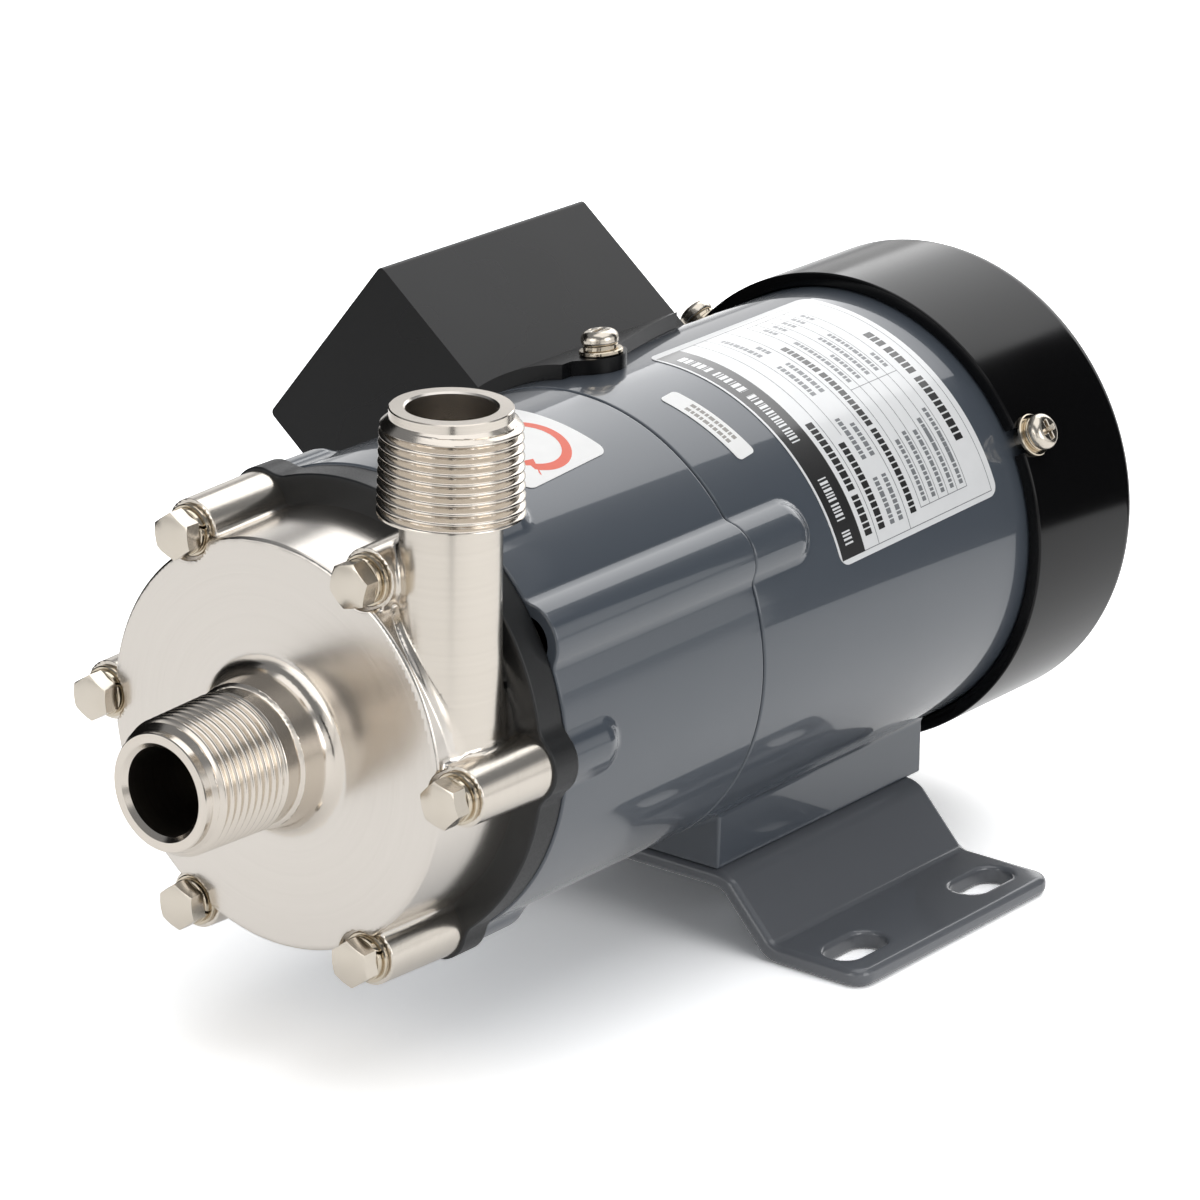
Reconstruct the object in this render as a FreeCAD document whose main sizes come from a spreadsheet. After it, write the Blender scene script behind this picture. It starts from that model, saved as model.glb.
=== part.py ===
"""Magnetic drive pump on a bent base plate, its pieces modelled at their real size in millimetres.

The origin is the centre of the suction port's end face. +Y runs along the shaft to the fan cover,
+Z is up and +X is the discharge side, so every place along the pump is a distance from that face.
"""
import FreeCAD
import Part

import math
import os
import re

import Sketcher

SIZES = {
    # Both ports: 3/4 inch male pipe thread, tapered 1 in 32 on the radius
    "suction_bore_radius": 8.5,
    "discharge_bore_radius": 8.3,
    "port_nose_radius": 11.3,
    "port_nose_length": 1.3,
    "port_chamfer_length": 1.3,
    "thread_radius": 13.0,
    "thread_length": 17.2,
    "thread_taper": 0.03125,
    "thread_runout": 0.4,
    # Neck of the suction port, down to the front of the casing
    "suction_neck_radius": 13.2,
    "suction_neck_length": 3.4,
    "suction_spigot_radius": 10.2,
    "suction_collar_radius": 14.0,
    "suction_collar_step": 0.6,
    "suction_collar_flare": 1.2,
    "suction_collar_fillet": 3.0,
    "suction_length": 30.8,
    # Front casing
    "casing_radius": 39.6,
    "casing_draft": 0.75,
    "casing_depth": 21.4,
    "casing_wall": 4.0,
    "casing_edge_round": 0.8,
    "chamber_radius": 34.6,
    "spigot_depth": 4.0,
    "spigot_radius": 35.0,
    "spigot_wall": 3.0,
    "o_ring_groove_wall": 1.2,
    "o_ring_radius": 0.95,
    # Discharge port, standing tangent to the impeller chamber
    "discharge_x": 32.5,
    "discharge_neck_radius": 9.4,
    "discharge_setback": 0.2,
    "discharge_clear": 6.44,
    "discharge_passage_radius": 6.4,
    "discharge_passage_foot": 4.0,
    "discharge_foot": 1.0,
    # Casing bolts and their tubular bosses
    "bolt_count": 6,
    "bolt_circle_radius": 42.5,
    "boss_front_radius": 5.75,
    "boss_rear_radius": 6.35,
    "boss_length": 19.2,
    "bolt_radius": 2.5,
    "bolt_hole_radius": 2.75,
    "bolt_length": 40.0,
    "bolt_head_height": 3.5,
    "bolt_head_flats": 8.0,
    "lock_washer_thickness": 1.3,
    "lock_washer_radius": 4.4,
    "flat_washer_thickness": 1.1,
    "flat_washer_radius": 5.0,
    "washer_gap": 0.15,
    "spot_face_gap": 0.5,
    # Small clearances: between fixed pieces, between running pieces, and past a screw's end
    "seat_gap": 0.05,
    "fit_gap": 0.1,
    "running_gap": 0.06,
    "thread_spare": 0.5,
    # How far a cut runs past the surface that it opens, or a joined form runs into another
    "overrun": 1.0,
    # Rear casing: the flange with its lugs, and the can that seals the pumped liquid in
    "rear_flange_radius": 46.2,
    "rear_flange_thickness": 6.9,
    "lug_radius": 7.0,
    "can_bore_radius": 27.2,
    "can_wall": 1.7,
    "can_floor": 2.2,
    "chamber_floor_step": 0.6,
    "can_length": 41.9,
    "spindle_socket_radius": 7.5,
    "spindle_socket_depth": 6.0,
    "spindle_socket_height": 8.8,
    # Spindle, its front support and the thrust washers
    "spindle_radius": 4.0,
    "support_depth": 4.8,
    "support_wall": 1.3,
    "support_hub_radius": 5.4,
    "support_rim_radius": 11.0,
    "support_rim_thickness": 1.2,
    "support_arm_width": 1.8,
    "support_arm_root": 0.4,
    "support_arm_count": 3,
    "thrust_washer_thickness": 1.9,
    "front_washer_radius": 6.4,
    "rear_washer_radius": 7.0,
    # Impeller with its long sleeve, which carries the inner magnets
    "impeller_radius": 31.0,
    "impeller_eye_radius": 9.0,
    "impeller_shroud_thickness": 1.6,
    "impeller_vane_height": 8.4,
    "impeller_vane_thickness": 1.6,
    "impeller_vane_curve": 22.0,
    "impeller_vane_sweep": 50.0,
    "impeller_vane_count": 6,
    "impeller_vane_root": 0.2,
    "impeller_eye_land": 1.5,
    "impeller_tip_land": 0.5,
    "impeller_hub_flare": 3.0,
    "impeller_front_gap": 2.2,
    "impeller_hub_radius": 7.9,
    "bush_radius": 5.6,
    "magnet_count": 8,
    "magnet_arc": 39.0,
    "magnet_length": 31.0,
    "inner_yoke_radius": 19.5,
    "inner_magnet_radius": 25.4,
    "inner_magnet_setback": 2.8,
    # Drive magnet cup on the motor shaft
    "drive_magnet_thickness": 3.5,
    "drive_magnet_shift": 6.0,
    "can_running_gap": 1.0,
    "drive_cup_wall": 2.6,
    "drive_cup_floor": 4.5,
    "drive_cup_front_gap": 1.6,
    "drive_cup_rear_gap": 1.5,
    "drive_hub_radius": 10.5,
    "drive_hub_length": 4.4,
    "set_screw_radius": 2.0,
    # Bracket between the pump and the motor
    "body_radius": 46.6,
    "bracket_length": 60.6,
    "bracket_front_depth": 17.0,
    "bracket_front_bore": 38.6,
    "bracket_bore": 41.6,
    "bracket_rear_wall": 7.0,
    "bearing_lip_radius": 13.0,
    "bearing_lip_thickness": 2.0,
    "bearing_housing_wall": 3.5,
    "short_boss_radius": 6.2,
    "short_boss_length": 16.5,
    # Ribs that hold the tie bolts
    "rib_radius": 7.4,
    "rib_angle": 30.0,
    "rib_count": 2,
    "rib_overlap": 22.1,
    "rib_inner_radius": 4.8,
    "counterbore_radius": 5.0,
    "counterbore_depth": 9.0,
    "tie_bolt_head_radius": 4.25,
    "tie_bolt_head_height": 5.0,
    "tie_bolt_end_gap": 4.0,
    # Motor frame with its pedestal
    "frame_length": 96.8,
    "frame_bore": 42.0,
    "pedestal_drop": 3.8,
    "pedestal_half_width": 26.3,
    "pedestal_setback": 13.9,
    "pedestal_rear_gap": 5.9,
    "pedestal_root": 20.0,
    # Stator, rotor and shaft
    "core_setback": 21.3,
    "core_length": 56.0,
    "stator_bore": 26.0,
    "slot_count": 12,
    "slot_width": 7.0,
    "slot_floor_radius": 36.0,
    "slot_mouth": 1.5,
    "winding_length": 12.5,
    "winding_outer_radius": 36.2,
    "winding_inner_radius": 28.5,
    "rotor_air_gap": 0.4,
    "end_ring_length": 5.0,
    "end_ring_inner_radius": 14.0,
    "end_ring_inset": 0.6,
    "shaft_radius": 6.0,
    "shaft_core_radius": 8.0,
    "shaft_drive_radius": 5.5,
    "shaft_fan_radius": 4.5,
    "shaft_shoulder": 1.0,
    "shaft_clearance": 0.6,
    "bearing_radius": 16.0,
    "bearing_width": 10.0,
    "rear_bearing_standout": 3.5,
    "bearing_pitch_radius": 11.0,
    "bearing_lip": 2.0,
    "ball_radius": 2.38,
    "ball_count": 7,
    "cage_half_width": 1.0,
    "cage_thickness": 0.8,
    "wave_washer_thickness": 1.3,
    "wave_washer_bore": 12.5,
    # Rear end shield
    "end_shield_thickness": 5.5,
    "end_shield_gap": 0.2,
    "end_shield_boss": 2.0,
    "end_shield_lip": 2.6,
    "end_screw_radius": 1.5,
    "end_screw_count": 3,
    "end_screw_length": 14.0,
    "end_screw_head_radius": 2.4,
    "end_screw_head_height": 2.0,
    # Cooling fan
    "fan_hub_radius": 8.0,
    "fan_hub_length": 9.0,
    "fan_gap": 3.0,
    "fan_disc_radius": 24.0,
    "fan_disc_thickness": 1.6,
    "fan_radius": 42.0,
    "fan_blade_width": 9.6,
    "fan_blade_thickness": 1.6,
    "fan_blade_count": 7,
    "circlip_thickness": 0.8,
    "circlip_groove": 0.5,
    "circlip_radius": 6.8,
    "shaft_tail": 2.6,
    # Fan cover and its radial screws
    "cover_radius": 49.7,
    "cover_wall": 2.8,
    "cover_overlap": 7.5,
    "cover_length": 36.0,
    "cover_corner": 3.8,
    "cover_inner_corner": 2.0,
    "vent_count": 16,
    "vent_inner": 14.0,
    "vent_outer": 40.0,
    "vent_width": 3.2,
    "cover_screw_inset": 4.3,
    "cover_right_angle": 28.5,
    "cover_left_angle": 142.0,
    "cover_low_angle": 265.0,
    "notch_half_width": 2.65,
    "small_screw_radius": 2.0,
    "small_head_radius": 3.7,
    "small_head_height": 2.8,
    "small_head_round": 1.2,
    "small_lock_radius": 3.5,
    "small_lock_thickness": 1.0,
    "small_washer_radius": 4.4,
    "small_washer_thickness": 0.9,
    "small_screw_grip": 6.0,
    # Terminal box, a folded cover that leans against the upper left of the motor frame
    "box_angle": 141.3,
    "box_high": 12.8,
    "box_low": 34.1,
    "box_reach": 80.2,
    "box_setback": 6.4,
    "box_length": 64.5,
    "box_wall": 1.2,
    "box_corner": 1.2,
    "box_root": 10.0,
    "flange_thickness": 3.0,
    "flange_end_angle": 88.0,
    "flange_edge": 8.4,
    "flange_tab_edge": 6.5,
    "flange_tab_half": 6.4,
    "flange_tab_round": 7.0,
    "flange_tab_front_slope": 1.1,
    "flange_tab_rear_slope": 1.6,
    "flange_trim_reach": 10.0,
    "flange_tail_edge": 19.5,
    "flange_length": 51.0,
    "box_screw_inset": 10.4,
    "box_screw_angle": 98.0,
    "low_flange_angle": 201.0,
    "low_screw_angle": 195.0,
    "low_flange_length": 21.0,
    # What the terminal box holds
    "capacitor_radius": 12.5,
    "capacitor_length": 46.0,
    "capacitor_offset": 17.0,
    "capacitor_setback": 4.9,
    "strap_thickness": 0.8,
    "strap_width": 10.0,
    "tab_width": 6.3,
    "tab_thickness": 0.8,
    "tab_height": 6.0,
    "tab_spread": 5.0,
    "block_low": 1.5,
    "block_high": 10.0,
    "block_height": 11.0,
    "block_setback": 23.9,
    "block_length": 30.0,
    "block_screw_count": 4,
    "block_screw_radius": 1.6,
    "block_screw_height": 1.2,
    "grommet_angle": 150.0,
    "grommet_reach": 63.0,
    "grommet_bore": 3.5,
    "grommet_radius": 6.0,
    "grommet_flange": 1.8,
    "grommet_flange_thickness": 2.5,
    "grommet_nose": 3.0,
    # Base plate, bent from one sheet
    "plate_thickness": 4.0,
    "plate_lead": 0.3,
    "plate_rear_gap": 8.9,
    "plate_half_width": 62.0,
    "plate_bend": 28.5,
    "plate_foot_start": 40.0,
    "plate_rise": 16.3,
    "plate_bend_radius": 2.5,
    "plate_corner": 4.0,
    "slot_x": 52.6,
    "slot_spacing": 43.6,
    "slot_setback": 32.6,
    "slot_radius": 4.0,
    "slot_length": 16.0,
    "plate_screw_x": 18.0,
    "plate_screw_spacing": 37.0,
    "plate_screw_setback": 35.2,
    "plate_screw_length": 11.0,
}

DOC = FreeCAD.newDocument("magnetic_drive_pump")
NODES = []
SAME_PLACE = 1e-4
HALF_AXIS = 10
FORMULA_WORDS = {"cos", "sin", "tan", "sqrt", "atan", "asin", "pow", "deg"}

# Places along the pump, worked out from the sizes above
PLACES = {
    "thread_front": "port_nose_length + port_chamfer_length",
    "thread_rear": "thread_front + thread_length",
    "thread_rear_radius": "thread_radius + thread_length * thread_taper",
    "nipple_rear": "thread_rear + suction_neck_length",
    "casing_front": "suction_length",
    "flange_front": "suction_length + casing_depth",
    "flange_rear": "flange_front + rear_flange_thickness",
    "chamber_front": "suction_length + casing_wall",
    "spigot_front": "flange_front - spigot_depth",
    "boss_front": "flange_front - boss_length",
    "head_rear": "boss_front - flat_washer_thickness - lock_washer_thickness",
    "lock_front": "head_rear",
    "flat_front": "head_rear + lock_washer_thickness",
    "discharge_y": "flange_front - discharge_neck_radius - discharge_setback",
    "boss_top": "bolt_circle_radius * sin(360 / bolt_count) + boss_rear_radius",
    "discharge_thread_foot": "boss_top + discharge_clear",
    "discharge_thread_top": "discharge_thread_foot + thread_length",
    "discharge_nose": "discharge_thread_top + port_chamfer_length",
    "discharge_height": "discharge_nose + port_nose_length",
    "o_ring_path": "spigot_radius + o_ring_groove_wall + o_ring_radius + seat_gap",
    "can_radius": "can_bore_radius + can_wall",
    "can_rear": "flange_rear + can_length",
    "can_floor_front": "can_rear - can_floor",
    "socket_front": "can_floor_front - spindle_socket_height",
    "socket_rear": "socket_front + spindle_socket_depth",
    "chamber_floor": "flange_front + chamber_floor_step",
    "support_front": "chamber_front - support_depth",
    "support_rear": "chamber_front + support_rim_thickness",
    "front_washer_front": "support_rear + seat_gap",
    "bush_front": "front_washer_front + thrust_washer_thickness + running_gap",
    "rear_washer_front": "socket_front - thrust_washer_thickness - seat_gap",
    "bush_rear": "rear_washer_front - running_gap",
    "shroud_front": "chamber_front + impeller_front_gap",
    "vane_front": "shroud_front + impeller_shroud_thickness",
    "vane_rear": "vane_front + impeller_vane_height",
    "impeller_rear": "vane_rear + impeller_shroud_thickness",
    "inner_magnet_front": "flange_front + inner_magnet_setback",
    "drive_magnet_bore": "can_radius + can_running_gap",
    "drive_cup_bore": "drive_magnet_bore + drive_magnet_thickness",
    "drive_cup_radius": "drive_cup_bore + drive_cup_wall",
    "drive_cup_front": "flange_rear + drive_cup_front_gap",
    "drive_floor_front": "can_rear + drive_cup_rear_gap",
    "drive_floor_rear": "drive_floor_front + drive_cup_floor",
    "drive_hub_rear": "drive_floor_rear + drive_hub_length",
    "seam": "flange_rear + bracket_length",
    "bracket_wall_front": "seam - bracket_rear_wall",
    "front_bearing": "bracket_wall_front + bearing_lip_thickness",
    "front_bearing_rear": "front_bearing + bearing_width",
    "short_boss_end": "flange_rear + short_boss_length",
    "rib_end": "seam + rib_overlap",
    "counterbore_floor": "flange_rear + counterbore_depth",
    "tie_bolt_end": "rib_end - tie_bolt_end_gap",
    "frame_rear": "seam + frame_length",
    "pedestal_front": "seam + pedestal_setback",
    "pedestal_length": "cover_front - pedestal_rear_gap - pedestal_front",
    "core_front": "seam + core_setback",
    "core_rear": "core_front + core_length",
    "rotor_radius": "stator_bore - rotor_air_gap",
    "rear_bearing_rear": "frame_rear + rear_bearing_standout",
    "rear_bearing": "rear_bearing_rear - bearing_width",
    "shield_rear": "frame_rear + end_shield_thickness",
    "shield_boss_rear": "shield_rear + end_shield_boss",
    "shield_lip_front": "shield_boss_rear - end_shield_lip",
    "end_screw_circle": "(frame_bore + body_radius) / 2",
    "fan_front": "shield_boss_rear + fan_gap",
    "fan_rear": "fan_front + fan_hub_length",
    "shaft_end": "fan_rear + circlip_thickness + shaft_tail",
    "cover_front": "frame_rear - cover_overlap",
    "cover_rear": "cover_front + cover_length",
    "cover_screw_y": "cover_front + cover_screw_inset",
    "box_front": "seam + box_setback",
    "box_rear": "box_front + box_length",
    "saddle_inner": "body_radius + seat_gap",
    "saddle_outer": "saddle_inner + flange_thickness",
    "box_screw_y": "box_front + box_screw_inset",
    "box_high_wall_angle": "box_angle - asin((box_high - box_wall / 2) / saddle_inner) / (1 deg)",
    "box_low_wall_angle": "box_angle + asin((box_low - box_wall / 2) / saddle_inner) / (1 deg)",
    "capacitor_front": "box_front + capacitor_setback",
    "strap_radius": "capacitor_radius + seat_gap + strap_thickness",
    "capacitor_n": "sqrt(pow(body_radius + strap_radius + fit_gap; 2) - pow(capacitor_offset; 2))",
    "block_front": "box_front + block_setback",
    "block_n": "body_radius + fit_gap",
    "plate_front": "pedestal_front - plate_lead",
    "plate_length": "cover_front - plate_rear_gap - plate_front",
    "plate_top": "-(body_radius + pedestal_drop)",
    "axis_height": "body_radius + pedestal_drop + plate_rise",
    "slot_centre": "plate_front + slot_setback",
    "plate_screw_centre": "plate_front + plate_screw_setback",
    "plate_screw_head": "plate_top - plate_thickness - lock_washer_thickness",
    "bend_angle": "atan((plate_rise - plate_thickness) / (plate_foot_start - plate_bend))",
    "bend_shift": "plate_thickness * tan(bend_angle / 2)",
    "foot_top": "-(axis_height - plate_thickness)",
}


def make_sheet():
    """Write every driving size into the sheet, one named cell each."""
    sheet = DOC.addObject("Spreadsheet::Sheet", "Sizes")
    for row, (name, value) in enumerate(SIZES.items(), start=1):
        sheet.set(f"A{row}", name)
        sheet.set(f"B{row}", str(value))
        sheet.setAlias(f"B{row}", name)
    DOC.recompute()
    return sheet


SHEET = make_sheet()


def bound(text):
    """Turn a formula in the sheet's words and the named places into an expression on the sheet."""
    def word(match):
        name = match.group()
        if name in PLACES:
            return "(" + bound(PLACES[name]) + ")"
        return name if name in FORMULA_WORDS else "Sizes." + name
    return re.sub(r"[a-z]\w*", word, str(text))


def value(text):
    """The number that a formula has now."""
    return float(SHEET.evalExpression(bound(text)))


def new_body(name):
    """A sub-part made of sketched features. Its label names its file."""
    body = DOC.addObject("PartDesign::Body", name)
    body.Label = name
    body.AllowCompound = True
    NODES.append(body)
    return body


def new_sketch(body, plane, lift="0", turn="0", spin=None):
    """A sketch on one of the body's own planes, lifted along its normal and turned about it.

    Where spin is given, the plane is turned about its own upright axis instead.
    """
    sketch = body.newObject("Sketcher::SketchObject", body.Name + "_sketch")
    origin = next(item for item in body.Origin.OriginFeatures if item.Role == plane)
    sketch.AttachmentSupport = [(origin, "")]
    sketch.MapMode = "FlatFace"
    axis = FreeCAD.Vector(0, 0, 1) if spin is None else FreeCAD.Vector(0, 1, 0)
    sketch.AttachmentOffset = FreeCAD.Placement(FreeCAD.Vector(), FreeCAD.Rotation(axis, 1))
    sketch.setExpression(".AttachmentOffset.Base.z", bound(lift))
    sketch.setExpression(".AttachmentOffset.Rotation.Angle", bound(turn if spin is None else spin))
    return sketch


def hold_coordinate(sketch, edge, point, kind, text):
    """Tie one coordinate of a sketched point to its formula."""
    number = value(text)
    if abs(number) < SAME_PLACE:
        sheet_axis = -2 if kind == "DistanceX" else -1
        sketch.addConstraint(Sketcher.Constraint("PointOnObject", edge, point, sheet_axis))
        return
    index = sketch.addConstraint(Sketcher.Constraint(kind, -1, 1, edge, point, number))
    sketch.setExpression(f"Constraints[{index}]", bound(text))


def hold_point(sketch, edge, point, place):
    """Tie a sketched point to its two formulas."""
    for kind, text in zip(("DistanceX", "DistanceY"), place):
        hold_coordinate(sketch, edge, point, kind, text)


def hold_bend(sketch, edge, corner, start, end):
    """Tie an arc between two held ends by its radius, or a half circle by the middle of its chord."""
    if (end - start).Length < 2 * abs(value(corner[2])) - SAME_PLACE:
        size = sketch.addConstraint(Sketcher.Constraint("Radius", edge, abs(value(corner[2]))))
        sketch.setExpression(f"Constraints[{size}]", bound(str(corner[2]).lstrip("-")))
    elif abs(end.y - start.y) < abs(end.x - start.x):
        hold_coordinate(sketch, edge, 3, "DistanceY", corner[1])
    else:
        hold_coordinate(sketch, edge, 3, "DistanceX", corner[0])


def draw_outline(sketch, points):
    """A closed outline. A corner is (x, y), or (x, y, radius) where an arc of that radius leads on.

    A positive radius turns left on the way round and a negative one turns right.
    """
    places = [FreeCAD.Vector(value(point[0]), value(point[1]), 0) for point in points]
    first = sketch.GeometryCount
    for index, point in enumerate(points):
        start, end = places[index], places[(index + 1) % len(points)]
        edge = Part.LineSegment(start, end) if len(point) == 2 else arc_between(start, end, value(point[2]))
        sketch.addGeometry(edge)
    starts = [2 if is_right_turn(points, index) else 1 for index in range(len(points))]
    for index, point in enumerate(points):
        after = (index + 1) % len(points)
        edge, end = first + index, 3 - starts[index]
        sketch.addConstraint(Sketcher.Constraint("Coincident", edge, end, first + after, starts[after]))
        hold_point(sketch, edge, starts[index], point[:2])
        if len(point) == 3:
            hold_bend(sketch, edge, point, places[index], places[after])


def is_right_turn(points, index):
    """Whether the edge that starts at this corner is an arc that turns right, which is stored end first."""
    return len(points[index]) == 3 and value(points[index][2]) < 0


def arc_between(start, end, radius):
    """The short arc from start to end with the given signed radius."""
    middle = (start + end) * 0.5
    half = (end - start) * 0.5
    rise = math.sqrt(max(radius * radius - half.Length ** 2, 0))
    left = FreeCAD.Vector(-half.y, half.x, 0).normalize()
    centre = middle + left * (rise if radius > 0 else -rise)
    circle = Part.Circle(centre, FreeCAD.Vector(0, 0, 1), abs(radius))
    first, last = (start, end) if radius > 0 else (end, start)
    return Part.ArcOfCircle(circle, circle.parameter(first), circle.parameter(last))


def add_circle(sketch, x, y, radius):
    """A circle held by its centre and radius."""
    place = FreeCAD.Vector(value(x), value(y), 0)
    edge = sketch.addGeometry(Part.Circle(place, FreeCAD.Vector(0, 0, 1), value(radius)))
    hold_point(sketch, edge, 3, (x, y))
    size = sketch.addConstraint(Sketcher.Constraint("Radius", edge, value(radius)))
    sketch.setExpression(f"Constraints[{size}]", bound(radius))


def turned(body, points, axis_x="0", plane="XY_Plane", lift="0", turn="0", spin=None, cut=False):
    """Revolve an outline of (radius, height) corners about an upright axis of the plane."""
    sketch = new_sketch(body, plane, lift, turn, spin)
    draw_outline(sketch, [(f"{axis_x} + {p[0]}",) + tuple(p[1:]) for p in points])
    low, high = (FreeCAD.Vector(value(axis_x), y, 0) for y in (-HALF_AXIS, HALF_AXIS))
    axis = sketch.addGeometry(Part.LineSegment(low, high), True)
    sketch.addConstraint(Sketcher.Constraint("Vertical", axis))
    hold_point(sketch, axis, 1, (axis_x, f"-{HALF_AXIS}"))
    sketch.addConstraint(Sketcher.Constraint("DistanceY", axis, 1, axis, 2, 2 * HALF_AXIS))
    kind = "PartDesign::Groove" if cut else "PartDesign::Revolution"
    feature = body.newObject(kind, body.Name + ("_groove" if cut else "_turned"))
    feature.Profile = sketch
    feature.ReferenceAxis = (sketch, ["Axis0"])
    feature.Angle = 360
    return feature


def rod(body, radius, low, high, cut=False, **place):
    """A plain round bar, or the hole for one, between two heights on its axis."""
    return turned(body, [("0", low), (radius, low), (radius, high), ("0", high)], cut=cut, **place)


def sleeve(body, bore, radius, low, high, **place):
    """A plain ring between two heights on its axis."""
    return turned(body, [(bore, low), (radius, low), (radius, high), (bore, high)], **place)


def domed_rod(body, radius, low, high, **place):
    """A round bar with a half-round far end."""
    corner = f"{high} - {radius}"
    return turned(body, [("0", low), (radius, low), (radius, corner, radius), ("0", high)], **place)


def pad(body, sketch, length, forward=True, cut=False):
    """Extrude a sketch along its normal, or against it where forward is false."""
    kind = "PartDesign::Pocket" if cut else "PartDesign::Pad"
    feature = body.newObject(kind, body.Name + ("_pocket" if cut else "_pad"))
    feature.Profile = sketch
    feature.Reversed = forward if cut else not forward
    feature.setExpression("Length", bound(length))
    return feature


def around_shaft(body, features, count):
    """Repeat features evenly about the shaft."""
    pattern = body.newObject("PartDesign::PolarPattern", body.Name + "_pattern")
    pattern.Originals = features
    axis = next(item for item in body.Origin.OriginFeatures if item.Role == "Y_Axis")
    pattern.Axis = (axis, [""])
    pattern.Angle = 360
    pattern.setExpression("Occurrences", bound(count))
    body.Tip = pattern
    return pattern


def circle_edges(shape, radius, y):
    """Names of the circular edges about the shaft with this radius, at this distance along the pump."""
    names = []
    for number, edge in enumerate(shape.Edges, start=1):
        if isinstance(edge.Curve, Part.Circle) and abs(edge.Curve.Radius - value(radius)) < SAME_PLACE:
            if abs(edge.Curve.Center.y - value(y)) < SAME_PLACE:
                names.append(f"Edge{number}")
    return names


def round_edges(body, feature, names, radius):
    """Fillet the named edges of a feature."""
    fillet = body.newObject("PartDesign::Fillet", body.Name + "_fillet")
    fillet.Base = (feature, names)
    fillet.setExpression("Radius", bound(radius))
    body.Tip = fillet
    return fillet


def make_suction_port():
    """Threaded nipple on the shaft's axis, with a spigot that sits in the front casing."""
    turned(new_body("suction_port"), [
        ("suction_bore_radius", "0"),
        ("port_nose_radius", "0"),
        ("port_nose_radius", "port_nose_length"),
        ("thread_radius", "thread_front"),
        ("thread_rear_radius", "thread_rear"),
        ("suction_neck_radius", "thread_rear + thread_runout"),
        ("suction_neck_radius", "nipple_rear"),
        ("suction_spigot_radius", "nipple_rear"),
        ("suction_spigot_radius", "support_front"),
        ("suction_bore_radius", "support_front"),
    ])


def make_pump_head():
    """Stainless front casing: collar, drum, tangent discharge neck and six bolt bosses."""
    body = new_body("pump_head")
    shell = turned(body, [
        ("0", "nipple_rear"),
        ("suction_neck_radius", "nipple_rear"),
        ("suction_collar_radius", "nipple_rear + suction_collar_step"),
        ("suction_collar_radius + suction_collar_flare", "casing_front"),
        ("casing_radius", "casing_front"),
        ("casing_radius + casing_draft", "flange_front"),
        ("0", "flange_front"),
    ])
    DOC.recompute()
    foot = circle_edges(shell.Shape, "suction_collar_radius + suction_collar_flare", "casing_front")
    collar = round_edges(body, shell, foot, "suction_collar_fillet")
    DOC.recompute()
    rim = circle_edges(collar.Shape, "casing_radius", "casing_front")
    round_edges(body, collar, rim, "casing_edge_round")
    on_circle = {"axis_x": "bolt_circle_radius"}
    boss = turned(body, [
        ("0", "boss_front"),
        ("boss_front_radius", "boss_front"),
        ("boss_rear_radius", "flange_front"),
        ("0", "flange_front"),
    ], **on_circle)
    around_shaft(body, [boss], "bolt_count")
    add_discharge_neck(body)
    turned(body, [
        ("0", "nipple_rear"),
        ("suction_spigot_radius + seat_gap", "nipple_rear"),
        ("suction_spigot_radius + seat_gap", "chamber_front"),
        ("chamber_radius", "chamber_front"),
        ("chamber_radius", "spigot_front"),
        ("spigot_radius + fit_gap", "spigot_front"),
        ("spigot_radius + fit_gap", "flange_front"),
        ("0", "flange_front"),
    ], cut=True)
    hole = rod(body, "bolt_hole_radius", "boss_front", "flange_front", cut=True, **on_circle)
    spot_face = rod(body, "flat_washer_radius + spot_face_gap", "casing_front - overrun", "boss_front",
                    cut=True, **on_circle)
    around_shaft(body, [hole, spot_face], "bolt_count")


def add_discharge_neck(body):
    """The neck that stands on the drum, and the passage down it into the chamber."""
    upright = {"axis_x": "discharge_x", "plane": "XZ_Plane", "lift": "-(discharge_y)"}
    rod(body, "discharge_neck_radius", "discharge_foot", "discharge_thread_foot", **upright)
    rod(body, "discharge_passage_radius", "discharge_passage_foot", "discharge_thread_foot",
        cut=True, **upright)


def make_discharge_port():
    """Threaded nipple on top of the discharge neck."""
    turned(new_body("discharge_port"), [
        ("discharge_bore_radius", "discharge_thread_foot"),
        ("thread_rear_radius - thread_runout", "discharge_thread_foot"),
        ("thread_rear_radius", "discharge_thread_foot + thread_runout"),
        ("thread_radius", "discharge_thread_top"),
        ("port_nose_radius", "discharge_nose"),
        ("port_nose_radius", "discharge_height"),
        ("discharge_bore_radius", "discharge_height"),
    ], axis_x="discharge_x", plane="XZ_Plane", lift="-(discharge_y)")


def hexagon(flats, x, y):
    """Corners of a hexagon about a point."""
    reach = f"({flats}) / sqrt(3)"
    return [(f"{x} + {reach} * cos({a})", f"{y} + {reach} * sin({a})") for a in range(30, 390, 60)]


def make_casing_fasteners():
    """Hexagon bolts through the casing bosses into the bracket, with their two kinds of washer."""
    bolts = new_body("casing_bolts")
    shank = rod(bolts, "bolt_radius", "head_rear", "head_rear + bolt_length", axis_x="bolt_circle_radius")
    sketch = new_sketch(bolts, "XZ_Plane", lift="-(head_rear)")
    draw_outline(sketch, hexagon("bolt_head_flats", "bolt_circle_radius", "0"))
    head = pad(bolts, sketch, "bolt_head_height")
    around_shaft(bolts, [shank, head], "bolt_count")
    for name, radius, front, rear in (
        ("casing_lock_washers", "lock_washer_radius", "lock_front", "flat_front"),
        ("casing_flat_washers", "flat_washer_radius", "flat_front", "boss_front"),
    ):
        washers = new_body(name)
        ring = sleeve(washers, "bolt_radius + washer_gap", radius, front, rear, axis_x="bolt_circle_radius")
        around_shaft(washers, [ring], "bolt_count")


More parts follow.
